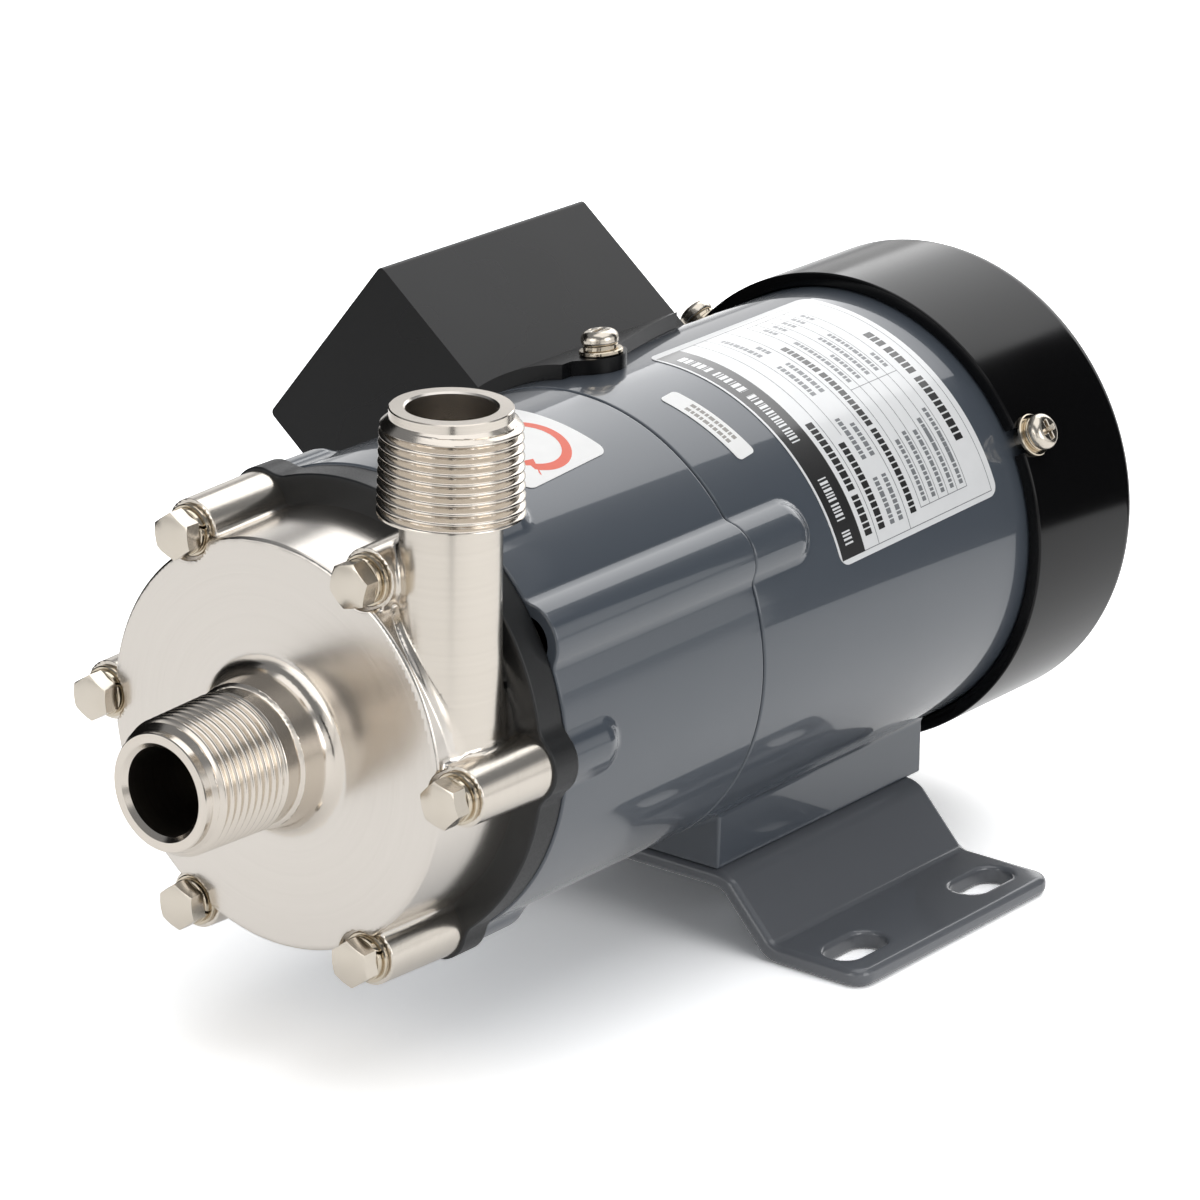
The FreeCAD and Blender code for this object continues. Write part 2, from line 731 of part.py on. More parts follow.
def make_rear_casing():
    """Moulded rear casing: a lugged flange, an o-ring groove and the thin can behind it."""
    body = new_body("rear_casing")
    turned(body, [
        ("0", "socket_rear"),
        ("spindle_radius + fit_gap", "socket_rear"),
        ("spindle_radius + fit_gap", "socket_front"),
        ("spindle_socket_radius", "socket_front"),
        ("spindle_socket_radius", "can_floor_front"),
        ("can_bore_radius", "can_floor_front"),
        ("can_bore_radius", "chamber_floor"),
        ("spigot_radius - spigot_wall", "chamber_floor"),
        ("spigot_radius - spigot_wall", "spigot_front + fit_gap"),
        ("spigot_radius", "spigot_front + fit_gap"),
        ("spigot_radius", "flange_front"),
        ("rear_flange_radius", "flange_front"),
        ("rear_flange_radius", "flange_rear"),
        ("can_radius", "flange_rear"),
        ("can_radius", "can_rear"),
        ("0", "can_rear"),
    ])
    on_circle = {"axis_x": "bolt_circle_radius"}
    lug = rod(body, "lug_radius", "flange_front", "flange_rear", **on_circle)
    hole = rod(body, "bolt_hole_radius", "flange_front", "flange_rear", cut=True, **on_circle)
    around_shaft(body, [lug, hole], "bolt_count")
    inner = "spigot_radius + o_ring_groove_wall"
    outer = f"{inner} + o_ring_radius * 2 + fit_gap"
    floor, face = "flange_front + o_ring_radius * 2 + fit_gap", "flange_front"
    turned(body, [(inner, face), (outer, face), (outer, floor), (inner, floor)], cut=True)


def make_o_ring():
    """Seal between the two casings, in the groove of the rear one."""
    body = new_body("casing_o_ring")
    middle = "flange_front + o_ring_radius + seat_gap"
    turned(body, [
        ("o_ring_path", f"{middle} - o_ring_radius", "o_ring_radius"),
        ("o_ring_path", f"{middle} + o_ring_radius", "o_ring_radius"),
    ])


def make_spindle():
    """Fixed ceramic spindle, its three-armed front support and the two thrust washers."""
    support = new_body("spindle_support")
    collar = "suction_spigot_radius - seat_gap"
    sleeve(support, f"{collar} - support_wall", collar, "support_front", "chamber_front")
    sleeve(support, f"{collar} - support_wall", "support_rim_radius", "chamber_front", "support_rear")
    turned(support, [
        ("0", "support_front"),
        ("support_hub_radius", "support_front"),
        ("support_hub_radius", "support_rear"),
        ("spindle_radius + fit_gap", "support_rear"),
        ("spindle_radius + fit_gap", "support_front + support_wall"),
        ("0", "support_front + support_wall"),
    ])
    sketch = new_sketch(support, "XZ_Plane", lift="-(support_front)")
    inner, outer = "support_hub_radius - support_arm_root", f"{collar} - support_wall / 2"
    half = "support_arm_width / 2"
    draw_outline(sketch, [(inner, f"-{half}"), (outer, f"-{half}"), (outer, half), (inner, half)])
    arm = pad(support, sketch, "support_depth", forward=False)
    around_shaft(support, [arm], "support_arm_count")
    rod(new_body("spindle"), "spindle_radius",
        "support_front + support_wall + fit_gap", "socket_rear - fit_gap")
    bore = "spindle_radius + running_gap"
    sleeve(new_body("front_thrust_washer"), bore, "front_washer_radius",
           "front_washer_front", "front_washer_front + thrust_washer_thickness")
    sleeve(new_body("rear_thrust_washer"), bore, "rear_washer_radius",
           "rear_washer_front", "rear_washer_front + thrust_washer_thickness")


def make_impeller():
    """Closed impeller with swept vanes between two shrouds, on a long sleeve."""
    body = new_body("impeller")
    bore = "bush_radius + seat_gap"
    turned(body, [
        (bore, "vane_front"),
        ("impeller_hub_radius", "vane_front"),
        ("impeller_hub_radius + impeller_hub_flare", "vane_rear"),
        ("impeller_radius", "vane_rear"),
        ("impeller_radius", "impeller_rear"),
        ("impeller_hub_radius", "impeller_rear"),
        ("impeller_hub_radius", "bush_rear"),
        (bore, "bush_rear"),
    ])
    sleeve(body, "impeller_eye_radius", "impeller_radius", "shroud_front", "vane_front")
    sketch = new_sketch(body, "XZ_Plane", lift="-(vane_front - impeller_vane_root)")
    lead, tip = "impeller_eye_radius + impeller_eye_land", "impeller_radius - impeller_tip_land"
    back = "impeller_vane_thickness"
    draw_outline(sketch, [
        (lead, "0", "-impeller_vane_curve"),
        (f"({tip}) * cos(impeller_vane_sweep)", f"-({tip}) * sin(impeller_vane_sweep)"),
        (f"({tip}) * cos(impeller_vane_sweep) - {back}", f"-({tip}) * sin(impeller_vane_sweep) - {back} / 2",
         "impeller_vane_curve"),
        (lead, f"-{back}"),
    ])
    vane = pad(body, sketch, "impeller_vane_height + impeller_vane_root * 2", forward=False)
    around_shaft(body, [vane], "impeller_vane_count")
    sleeve(new_body("impeller_bush"), "spindle_radius + running_gap", "bush_radius",
           "bush_front", "bush_rear")


def magnet_ring(name, bore, radius, front):
    """Separate curved magnets, evenly about the shaft."""
    body = new_body(name)
    sketch = new_sketch(body, "XZ_Plane", lift=f"-({front})")
    sweep = "(magnet_arc / 2)"
    draw_outline(sketch, [
        (f"({bore}) * cos{sweep}", f"({bore}) * sin{sweep}", f"-({bore})"),
        (f"({bore}) * cos{sweep}", f"-({bore}) * sin{sweep}"),
        (f"({radius}) * cos{sweep}", f"-({radius}) * sin{sweep}", f"{radius}"),
        (f"({radius}) * cos{sweep}", f"({radius}) * sin{sweep}"),
    ])
    magnet = pad(body, sketch, "magnet_length", forward=False)
    around_shaft(body, [magnet], "magnet_count")


def make_magnets():
    """The two magnet rings that turn together through the wall of the can."""
    sleeve(new_body("inner_magnet_yoke"), "impeller_hub_radius + seat_gap", "inner_yoke_radius",
           "inner_magnet_front", "inner_magnet_front + magnet_length")
    magnet_ring("inner_magnets", "inner_yoke_radius + seat_gap", "inner_magnet_radius", "inner_magnet_front")
    hub = new_body("drive_magnet_hub")
    turned(hub, [
        ("shaft_drive_radius + seat_gap / 2", "drive_floor_front"),
        ("drive_cup_bore + seat_gap", "drive_floor_front"),
        ("drive_cup_bore + seat_gap", "drive_cup_front"),
        ("drive_cup_radius", "drive_cup_front"),
        ("drive_cup_radius", "drive_floor_rear"),
        ("drive_hub_radius", "drive_floor_rear"),
        ("drive_hub_radius", "drive_hub_rear"),
        ("shaft_drive_radius + seat_gap / 2", "drive_hub_rear"),
    ])
    across = {"plane": "XZ_Plane", "lift": "-(drive_floor_rear + drive_hub_length / 2)"}
    rod(hub, "set_screw_radius + seat_gap", "shaft_drive_radius", "drive_hub_radius + overrun",
        cut=True, **across)
    rod(new_body("hub_set_screw"), "set_screw_radius",
        "shaft_drive_radius + seat_gap", "drive_hub_radius", **across)
    magnet_ring("drive_magnets", "drive_magnet_bore", "drive_cup_bore",
                "inner_magnet_front + drive_magnet_shift")


def make_bracket():
    """Painted bracket: a shell with six short bosses, two tie-bolt ribs and the front bearing's housing."""
    body = new_body("bracket")
    rod(body, "body_radius", "flange_rear", "seam")
    boss = domed_rod(body, "short_boss_radius", "flange_rear", "short_boss_end", axis_x="bolt_circle_radius")
    around_shaft(body, [boss], "bolt_count")
    rib = {"axis_x": "bolt_circle_radius", "spin": "-rib_angle"}
    bar = rod(body, "rib_radius", "flange_rear", "seam", **rib)
    around_shaft(body, [bar], "rib_count")
    turned(body, [
        ("0", "flange_rear"),
        ("bracket_front_bore", "flange_rear"),
        ("bracket_front_bore", "flange_rear + bracket_front_depth"),
        ("bracket_bore", "flange_rear + bracket_front_depth"),
        ("bracket_bore", "bracket_wall_front"),
        ("bearing_lip_radius", "bracket_wall_front"),
        ("bearing_lip_radius", "front_bearing"),
        ("bearing_radius + seat_gap", "front_bearing"),
        ("bearing_radius + seat_gap", "seam"),
        ("0", "seam"),
    ], cut=True)
    inner = rod(body, "rib_inner_radius", "flange_rear + bracket_front_depth - overrun",
                "bracket_wall_front + overrun", **rib)
    around_shaft(body, [inner], "rib_count")
    sleeve(body, "bearing_radius + seat_gap", "bearing_radius + bearing_housing_wall",
           "seam - overrun", "front_bearing_rear")
    tapped = rod(body, "bolt_radius + seat_gap", "flange_rear", "head_rear + bolt_length + thread_spare",
                 cut=True, axis_x="bolt_circle_radius")
    around_shaft(body, [tapped], "bolt_count")
    through = rod(body, "bolt_hole_radius", "flange_rear", "seam", cut=True, **rib)
    sunk = rod(body, "counterbore_radius", "flange_rear", "counterbore_floor", cut=True, **rib)
    around_shaft(body, [through, sunk], "rib_count")


def make_tie_bolts():
    """Two long bolts down the ribs, which hold the bracket to the motor frame."""
    rib = {"axis_x": "bolt_circle_radius", "spin": "-rib_angle"}
    bolts = new_body("tie_bolts")
    under_head = "counterbore_floor - lock_washer_thickness"
    shank = rod(bolts, "bolt_radius", under_head, "tie_bolt_end", **rib)
    head = rod(bolts, "tie_bolt_head_radius", f"{under_head} - tie_bolt_head_height", under_head, **rib)
    around_shaft(bolts, [shank, head], "rib_count")
    washers = new_body("tie_bolt_washers")
    ring = sleeve(washers, "bolt_radius + washer_gap", "tie_bolt_head_radius",
                  under_head, "counterbore_floor", **rib)
    around_shaft(washers, [ring], "rib_count")


def make_motor_frame():
    """Painted motor frame with its pedestal, the ends of the ribs and its tapped holes."""
    body = new_body("motor_frame")
    rod(body, "body_radius", "seam", "frame_rear")
    rib = {"axis_x": "bolt_circle_radius", "spin": "-rib_angle"}
    bar = domed_rod(body, "rib_radius", "seam", "rib_end", **rib)
    around_shaft(body, [bar], "rib_count")
    sketch = new_sketch(body, "XZ_Plane", lift="-(pedestal_front)")
    half = "pedestal_half_width"
    root = "-pedestal_root"
    draw_outline(sketch, [(f"-{half}", "plate_top"), (half, "plate_top"), (half, root), (f"-{half}", root)])
    pad(body, sketch, "pedestal_length", forward=False)
    rod(body, "frame_bore", "seam", "frame_rear", cut=True)
    inner = rod(body, "rib_inner_radius", "seam", "tie_bolt_end + thread_spare + overrun", **rib)
    tapped = rod(body, "bolt_radius + seat_gap", "seam", "tie_bolt_end + thread_spare", cut=True, **rib)
    around_shaft(body, [inner, tapped], "rib_count")
    hole = rod(body, "end_screw_radius + seat_gap", "shield_rear - end_screw_length - thread_spare",
               "frame_rear", cut=True, axis_x="end_screw_circle")
    around_shaft(body, [hole], "end_screw_count")
    for y, angle in small_screw_places():
        rod(body, "small_screw_radius + seat_gap", "frame_bore - overrun", "body_radius + overrun", cut=True,
            plane="XZ_Plane", lift=f"-({y})", turn=f"{angle} - 90")
    for x, y in plate_screw_places():
        rod(body, "bolt_radius + seat_gap", "plate_top",
            "plate_screw_head + plate_screw_length + thread_spare",
            cut=True, axis_x=x, plane="XZ_Plane", lift=f"-({y})")


def small_screw_places():
    """Where the radial screws of the fan cover and of the terminal box stand: distance and angle."""
    cover = ("cover_right_angle", "cover_left_angle", "cover_low_angle")
    box = ("box_screw_angle", "low_screw_angle")
    return [("cover_screw_y", angle) for angle in cover] + [("box_screw_y", angle) for angle in box]


def plate_screw_places():
    """Where the base plate is screwed to the pedestal."""
    return [(x, f"plate_screw_centre {sign} plate_screw_spacing / 2")
            for x in ("plate_screw_x", "-plate_screw_x") for sign in "-+"]


def make_stator():
    """Slotted stator core and the end turns of its windings."""
    core = new_body("stator_core")
    sleeve(core, "stator_bore", "frame_bore - seat_gap", "core_front", "core_rear")
    sketch = new_sketch(core, "XZ_Plane", lift="-(core_front)")
    half = "slot_width / 2"
    root, floor = "stator_bore + slot_mouth", "slot_floor_radius"
    draw_outline(sketch, [(root, f"-{half}"), (floor, f"-{half}"), (floor, half), (root, half)])
    slot = pad(core, sketch, "core_length", forward=False, cut=True)
    around_shaft(core, [slot], "slot_count")
    windings = new_body("stator_windings")
    for low, high in (("core_front - winding_length", "core_front - fit_gap"),
                      ("core_rear + fit_gap", "core_rear + winding_length")):
        turned(windings, [
            ("winding_inner_radius", low),
            ("winding_outer_radius", low),
            ("winding_outer_radius", high),
            ("winding_inner_radius", high),
        ])


def make_rotor():
    """Squirrel-cage rotor on the motor shaft."""
    core = new_body("rotor_core")
    sleeve(core, "shaft_core_radius + seat_gap / 2", "rotor_radius", "core_front", "core_rear")
    rings = new_body("rotor_end_rings")
    for low, high in (("core_front - end_ring_length", "core_front"),
                      ("core_rear", "core_rear + end_ring_length")):
        sleeve(rings, "end_ring_inner_radius", "rotor_radius - end_ring_inset", low, high)
    drive_end, tail = "drive_floor_front + shaft_shoulder", "rear_bearing_rear + shaft_shoulder"
    clip_floor, clip_end = "shaft_fan_radius - circlip_groove", "fan_rear + circlip_thickness + seat_gap"
    turned(new_body("motor_shaft"), [
        ("0", drive_end),
        ("shaft_drive_radius", drive_end),
        ("shaft_drive_radius", "front_bearing - shaft_shoulder"),
        ("shaft_radius", "front_bearing - shaft_shoulder"),
        ("shaft_radius", "front_bearing_rear"),
        ("shaft_core_radius", "front_bearing_rear"),
        ("shaft_core_radius", "rear_bearing"),
        ("shaft_radius", "rear_bearing"),
        ("shaft_radius", tail),
        ("shaft_fan_radius", tail),
        ("shaft_fan_radius", "fan_rear"),
        (clip_floor, "fan_rear"),
        (clip_floor, clip_end),
        ("shaft_fan_radius", clip_end),
        ("shaft_fan_radius", "shaft_end"),
        ("0", "shaft_end"),
    ])


def make_bearings():
    """Two deep-groove ball bearings: their races, balls and cages."""
    outer, inner = new_body("bearing_outer_races"), new_body("bearing_inner_races")
    balls, cages = new_body("bearing_balls"), new_body("bearing_cages")
    track = "(ball_radius + running_gap)"
    half = f"sqrt({track} * {track} - bearing_lip * bearing_lip)"
    for front in ("front_bearing", "rear_bearing"):
        middle, rear = f"{front} + bearing_width / 2", f"{front} + bearing_width"
        edge = "bearing_pitch_radius + bearing_lip"
        turned(outer, [
            (edge, front),
            ("bearing_radius", front),
            ("bearing_radius", rear),
            (edge, rear),
            (edge, f"{middle} + {half}", f"-{track}"),
            (edge, f"{middle} - {half}"),
        ])
        edge = "bearing_pitch_radius - bearing_lip"
        turned(inner, [
            ("shaft_radius + seat_gap / 2", front),
            (edge, front),
            (edge, f"{middle} - {half}", f"-{track}"),
            (edge, f"{middle} + {half}"),
            (edge, rear),
            ("shaft_radius + seat_gap / 2", rear),
        ])
        ball = turned(balls, [
            ("0", f"{middle} - ball_radius", "ball_radius"),
            ("0", f"{middle} + ball_radius"),
        ], axis_x="bearing_pitch_radius")
        around_shaft(balls, [ball], "ball_count")
        sleeve(cages, "bearing_pitch_radius - cage_half_width", "bearing_pitch_radius + cage_half_width",
               f"{middle} + ball_radius + seat_gap", f"{middle} + ball_radius + seat_gap + cage_thickness")
    sleeve(new_body("wave_washer"), "wave_washer_bore", "bearing_radius - fit_gap",
           "rear_bearing_rear + seat_gap", "rear_bearing_rear + seat_gap + wave_washer_thickness")


def make_end_shield():
    """Rear end shield, which carries the rear bearing, and its screws."""
    body = new_body("rear_end_shield")
    wall = "bearing_radius + bearing_housing_wall"
    turned(body, [
        ("bearing_radius + seat_gap", "rear_bearing"),
        (wall, "rear_bearing"),
        (wall, "frame_rear"),
        ("body_radius - end_shield_gap", "frame_rear"),
        ("body_radius - end_shield_gap", "shield_rear"),
        (wall, "shield_rear"),
        (wall, "shield_boss_rear"),
        ("shaft_radius + shaft_clearance", "shield_boss_rear"),
        ("shaft_radius + shaft_clearance", "shield_lip_front"),
        ("bearing_radius + seat_gap", "shield_lip_front"),
    ])
    hole = rod(body, "end_screw_radius + washer_gap", "frame_rear", "shield_rear",
               cut=True, axis_x="end_screw_circle")
    around_shaft(body, [hole], "end_screw_count")
    screws = new_body("end_shield_screws")
    shank = rod(screws, "end_screw_radius", "shield_rear - end_screw_length", "shield_rear",
                axis_x="end_screw_circle")
    head = rod(screws, "end_screw_head_radius", "shield_rear", "shield_rear + end_screw_head_height",
               axis_x="end_screw_circle")
    around_shaft(screws, [shank, head], "end_screw_count")


def make_fan():
    """Radial cooling fan on the shaft's tail, kept by a circlip."""
    body = new_body("fan")
    bore = "shaft_fan_radius + seat_gap / 2"
    turned(body, [
        (bore, "fan_front"),
        ("fan_disc_radius", "fan_front"),
        ("fan_disc_radius", "fan_front + fan_disc_thickness"),
        ("fan_hub_radius", "fan_front + fan_disc_thickness"),
        ("fan_hub_radius", "fan_rear"),
        (bore, "fan_rear"),
    ])
    sketch = new_sketch(body, "XZ_Plane", lift="-(fan_front)")
    half = "fan_blade_thickness / 2"
    draw_outline(sketch, [
        ("fan_hub_radius - overrun", f"-{half}"),
        ("fan_radius", f"-{half}"),
        ("fan_radius", half),
        ("fan_hub_radius - overrun", half),
    ])
    blade = pad(body, sketch, "fan_blade_width", forward=False)
    around_shaft(body, [blade], "fan_blade_count")
    sleeve(new_body("fan_circlip"), "shaft_fan_radius - circlip_groove + seat_gap / 2", "circlip_radius",
           "fan_rear + seat_gap / 2", "fan_rear + circlip_thickness")


def make_fan_cover():
    """Moulded fan cover with a vented rear face and a notch over each radial screw."""
    body = new_body("fan_cover")
    inner = "cover_radius - cover_wall"
    turned(body, [
        (inner, "cover_front"),
        ("cover_radius", "cover_front"),
        ("cover_radius", "cover_rear - cover_corner", "cover_corner"),
        ("cover_radius - cover_corner", "cover_rear"),
        ("0", "cover_rear"),
        ("0", "cover_rear - cover_wall"),
        (f"{inner} - cover_inner_corner", "cover_rear - cover_wall"),
        (inner, "cover_rear - cover_wall - cover_inner_corner"),
    ])
    sketch = new_sketch(body, "XZ_Plane", lift="-(cover_rear)")
    half = "vent_width / 2"
    draw_outline(sketch, [
        ("vent_inner", f"-{half}"),
        ("vent_outer", f"-{half}"),
        ("vent_outer", half),
        ("vent_inner", half),
    ])
    vent = pad(body, sketch, "cover_wall", cut=True)
    around_shaft(body, [vent], "vent_count")
    for y, angle in small_screw_places()[:3]:
        sketch = new_sketch(body, "XY_Plane", spin=f"90 - {angle}")
        half = "notch_half_width"
        draw_outline(sketch, [
            (f"-{half}", "cover_front - overrun"),
            (half, "cover_front - overrun"),
            (half, y, half),
            (f"-{half}", y),
        ])
        pad(body, sketch, "cover_radius + overrun", cut=True)


def radial_screws(prefix, places, seat):
    """Pan-head screws along a radius, each with a lock washer and a flat washer on the same seat."""
    screws = new_body(f"{prefix}_screws")
    locks = new_body(f"{prefix}_lock_washers")
    flats = new_body(f"{prefix}_flat_washers")
    flat_top = f"{seat} + small_washer_thickness"
    lock_top = f"{flat_top} + small_lock_thickness"
    bore = "small_screw_radius + washer_gap"
    for y, angle in places:
        place = {"plane": "XZ_Plane", "lift": f"-({y})", "turn": f"{angle} - 90"}
        turned(screws, [
            ("0", f"{seat} - small_screw_grip"),
            ("small_screw_radius", f"{seat} - small_screw_grip"),
            ("small_screw_radius", lock_top),
            ("small_head_radius", lock_top),
            ("small_head_radius", f"{lock_top} + small_head_height - small_head_round", "small_head_round"),
            ("small_head_radius - small_head_round", f"{lock_top} + small_head_height"),
            ("0", f"{lock_top} + small_head_height"),
        ], **place)
        sleeve(locks, bore, "small_lock_radius", flat_top, lock_top, **place)
        sleeve(flats, bore, "small_washer_radius", seat, flat_top, **place)


def make_terminal_box():
    """Folded cover on the motor frame, with a tabbed saddle flange on top and a plain one below."""
    body = new_body("terminal_box")
    leaning = {"turn": "box_angle - 90"}
    sketch = new_sketch(body, "XZ_Plane", lift="-(box_front)", **leaning)
    draw_outline(sketch, [
        ("-box_low", "box_root"),
        ("box_high", "box_root"),
        ("box_high", "box_reach - box_corner", "box_corner"),
        ("box_high - box_corner", "box_reach"),
        ("-(box_low - box_corner)", "box_reach", "box_corner"),
        ("-box_low", "box_reach - box_corner"),
    ])
    pad(body, sketch, "box_length", forward=False)
    sketch = new_sketch(body, "XZ_Plane", lift="-(box_front + box_wall)", **leaning)
    draw_outline(sketch, [
        ("-(box_low - box_wall)", "box_root - overrun"),
        ("box_high - box_wall", "box_root - overrun"),
        ("box_high - box_wall", "box_reach - box_wall"),
        ("-(box_low - box_wall)", "box_reach - box_wall"),
    ])
    pad(body, sketch, "box_length - box_wall * 2", forward=False, cut=True)
    rod(body, "saddle_inner", "box_front - overrun", "box_rear + overrun", cut=True)
    add_saddle(body, "flange_end_angle", "box_high_wall_angle", "flange_length")
    add_saddle(body, "box_low_wall_angle", "low_flange_angle", "low_flange_length")
    trim_top_flange(body)
    for y, angle in small_screw_places()[3:]:
        rod(body, "small_screw_radius + washer_gap", "saddle_inner - overrun", "saddle_outer + overrun",
            cut=True, plane="XZ_Plane", lift=f"-({y})", turn=f"{angle} - 90")
    rod(body, "grommet_radius + seat_gap", "box_rear - box_wall", "box_rear", cut=True,
        axis_x="grommet_reach", spin="-grommet_angle")
    radial_screws("terminal_box", small_screw_places()[3:], "saddle_outer")


def add_saddle(body, first, last, length):
    """A curved flange on the motor frame between two angles."""
    sketch = new_sketch(body, "XZ_Plane", lift="-(box_front)")
    outer, inner = "saddle_outer", "saddle_inner"
    corners = [(outer, first), (outer, last), (inner, last), (inner, first)]
    bends = {0: outer, 2: f"-({inner})"}
    outline = []
    for index, (radius, angle) in enumerate(corners):
        corner = (f"({radius}) * cos({angle})", f"({radius}) * sin({angle})")
        outline.append(corner + (bends[index],) if index in bends else corner)
    draw_outline(sketch, outline)
    pad(body, sketch, length, forward=False)


def trim_top_flange(body):
    """Cut the top flange to its wavy edge, seen from above: a round tab for the screw, then a taper."""
    sketch = new_sketch(body, "XY_Plane")
    tab_front = "box_screw_y - flange_tab_half"
    tab_rear = "box_screw_y + flange_tab_half"
    trim_end = "box_front + flange_length + overrun"
    draw_outline(sketch, [
        ("flange_trim_reach", "box_front - overrun"),
        ("flange_trim_reach", trim_end),
        ("-flange_tail_edge", trim_end),
        ("-flange_edge", f"{tab_rear} + flange_tab_rear_slope"),
        ("-flange_tab_edge", tab_rear, "-flange_tab_round"),
        ("-flange_tab_edge", tab_front),
        ("-flange_edge", f"{tab_front} - flange_tab_front_slope"),
        ("-flange_edge", "box_front - overrun"),
    ])
    pad(body, sketch, "box_reach", cut=True)


def make_box_contents():
    """Run capacitor with its strap, a terminal block with screws, and the cable grommet."""
    leaning = {"turn": "box_angle - 90"}
    can = new_body("capacitor")
    sketch = new_sketch(can, "XZ_Plane", lift="-(capacitor_front)", **leaning)
    add_circle(sketch, "-capacitor_offset", "capacitor_n", "capacitor_radius")
    pad(can, sketch, "capacitor_length", forward=False)
    for sign in "-+":
        sketch = new_sketch(can, "XZ_Plane", lift="-(capacitor_front + capacitor_length)", **leaning)
        x, n = "-capacitor_offset", f"capacitor_n {sign} tab_spread"
        draw_outline(sketch, [
            (f"{x} - tab_width / 2", f"{n} - tab_thickness / 2"),
            (f"{x} + tab_width / 2", f"{n} - tab_thickness / 2"),
            (f"{x} + tab_width / 2", f"{n} + tab_thickness / 2"),
            (f"{x} - tab_width / 2", f"{n} + tab_thickness / 2"),
        ])
        pad(can, sketch, "tab_height", forward=False)
    strap = new_body("capacitor_strap")
    strap_front = "capacitor_front + (capacitor_length - strap_width) / 2"
    sketch = new_sketch(strap, "XZ_Plane", lift=f"-({strap_front})", **leaning)
    for radius in ("strap_radius - strap_thickness", "strap_radius"):
        add_circle(sketch, "-capacitor_offset", "capacitor_n", radius)
    pad(strap, sketch, "strap_width", forward=False)
    block = new_body("terminal_block")
    sketch = new_sketch(block, "XZ_Plane", lift="-(block_front)", **leaning)
    draw_outline(sketch, [
        ("-block_low", "block_n"),
        ("block_high", "block_n"),
        ("block_high", "block_n + block_height"),
        ("-block_low", "block_n + block_height"),
    ])
    pad(block, sketch, "block_length", forward=False)
    screws = new_body("terminal_screws")
    block_top = "block_n + block_height"
    for index in range(int(value("block_screw_count"))):
        y = f"block_front + block_length * {index + 0.5} / block_screw_count"
        rod(screws, "block_screw_radius", block_top, f"{block_top} + block_screw_height",
            axis_x="(block_high - block_low) / 2", plane="XZ_Plane", lift=f"-({y})", **leaning)
    wall = "box_rear - box_wall"
    turned(new_body("cable_grommet"), [
        ("grommet_bore", f"{wall} - grommet_flange_thickness"),
        ("grommet_radius + grommet_flange", f"{wall} - grommet_flange_thickness"),
        ("grommet_radius + grommet_flange", wall),
        ("grommet_radius", wall),
        ("grommet_radius", "box_rear"),
        ("grommet_radius + grommet_flange", "box_rear"),
        ("grommet_radius + grommet_flange", "box_rear + grommet_flange_thickness"),
        ("grommet_radius", "box_rear + grommet_flange_thickness + grommet_nose"),
        ("grommet_bore", "box_rear + grommet_flange_thickness + grommet_nose"),
    ], axis_x="grommet_reach", spin="-grommet_angle")


def make_base_plate():
    """Base plate bent from one sheet: a raised bed for the pedestal and two slotted feet."""
    body = new_body("base_plate")
    right = [
        ("plate_bend - bend_shift", "plate_top - plate_thickness"),
        ("plate_foot_start - bend_shift", "-(axis_height)"),
        ("plate_half_width", "-(axis_height)"),
        ("plate_half_width", "foot_top"),
        ("plate_foot_start", "foot_top"),
        ("plate_bend", "plate_top"),
    ]
    left = [(f"-({x})", z) for x, z in reversed(right)]
    sketch = new_sketch(body, "XZ_Plane", lift="-(plate_front)")
    draw_outline(sketch, right + left)
    sheet = pad(body, sketch, "plate_length", forward=False)
    DOC.recompute()
    corners = foot_corner_edges(sheet.Shape)
    rounded = round_edges(body, sheet, corners, "plate_corner")
    DOC.recompute()
    for outside, radius in ((True, "plate_bend_radius + plate_thickness"), (False, "plate_bend_radius")):
        rounded = round_edges(body, rounded, bend_edges(rounded.Shape, outside), radius)
        DOC.recompute()
    sketch = new_sketch(body, "XY_Plane", lift="-(axis_height)")
    for x in ("slot_x", "-slot_x"):
        for sign in "-+":
            middle = f"slot_centre {sign} slot_spacing / 2"
            straight = "slot_length / 2 - slot_radius"
            draw_outline(sketch, [
                (f"{x} + slot_radius", f"{middle} - ({straight})"),
                (f"{x} + slot_radius", f"{middle} + ({straight})", "slot_radius"),
                (f"{x} - slot_radius", f"{middle} + ({straight})"),
                (f"{x} - slot_radius", f"{middle} - ({straight})", "slot_radius"),
            ])
    pad(body, sketch, "plate_thickness", cut=True)
    for x, y in plate_screw_places():
        rod(body, "bolt_hole_radius", "plate_top - plate_thickness", "plate_top", cut=True,
            axis_x=x, plane="XZ_Plane", lift=f"-({y})")


def edges_at(shape, places):
    """Names of the edges that keep to one of the places from end to end, seen along an axis."""
    return [f"Edge{number}" for number, edge in enumerate(shape.Edges, start=1)
            if any(all(place(vertex.Point) for vertex in edge.Vertexes) for place in places)]


def foot_corner_edges(shape):
    """The four upright edges at the outer corners of the feet."""
    ends = (value("plate_front"), value("plate_front + plate_length"))
    half = value("plate_half_width")
    places = [lambda point, x=x, y=y: abs(point.x - x) < SAME_PLACE and abs(point.y - y) < SAME_PLACE
              for x in (-half, half) for y in ends]
    return edges_at(shape, places)


def bend_edges(shape, outside):
    """The edges along the bends of the sheet, on its outer or its inner side."""
    if outside:
        corners = [("plate_bend", "plate_top"), ("plate_foot_start - bend_shift", "-(axis_height)")]
    else:
        corners = [("plate_bend - bend_shift", "plate_top - plate_thickness"),
                   ("plate_foot_start", "foot_top")]
    spots = [(side * value(x), value(z)) for x, z in corners for side in (-1, 1)]
    places = [lambda point, x=x, z=z: abs(point.x - x) < SAME_PLACE and abs(point.z - z) < SAME_PLACE
              for x, z in spots]
    return edges_at(shape, places)


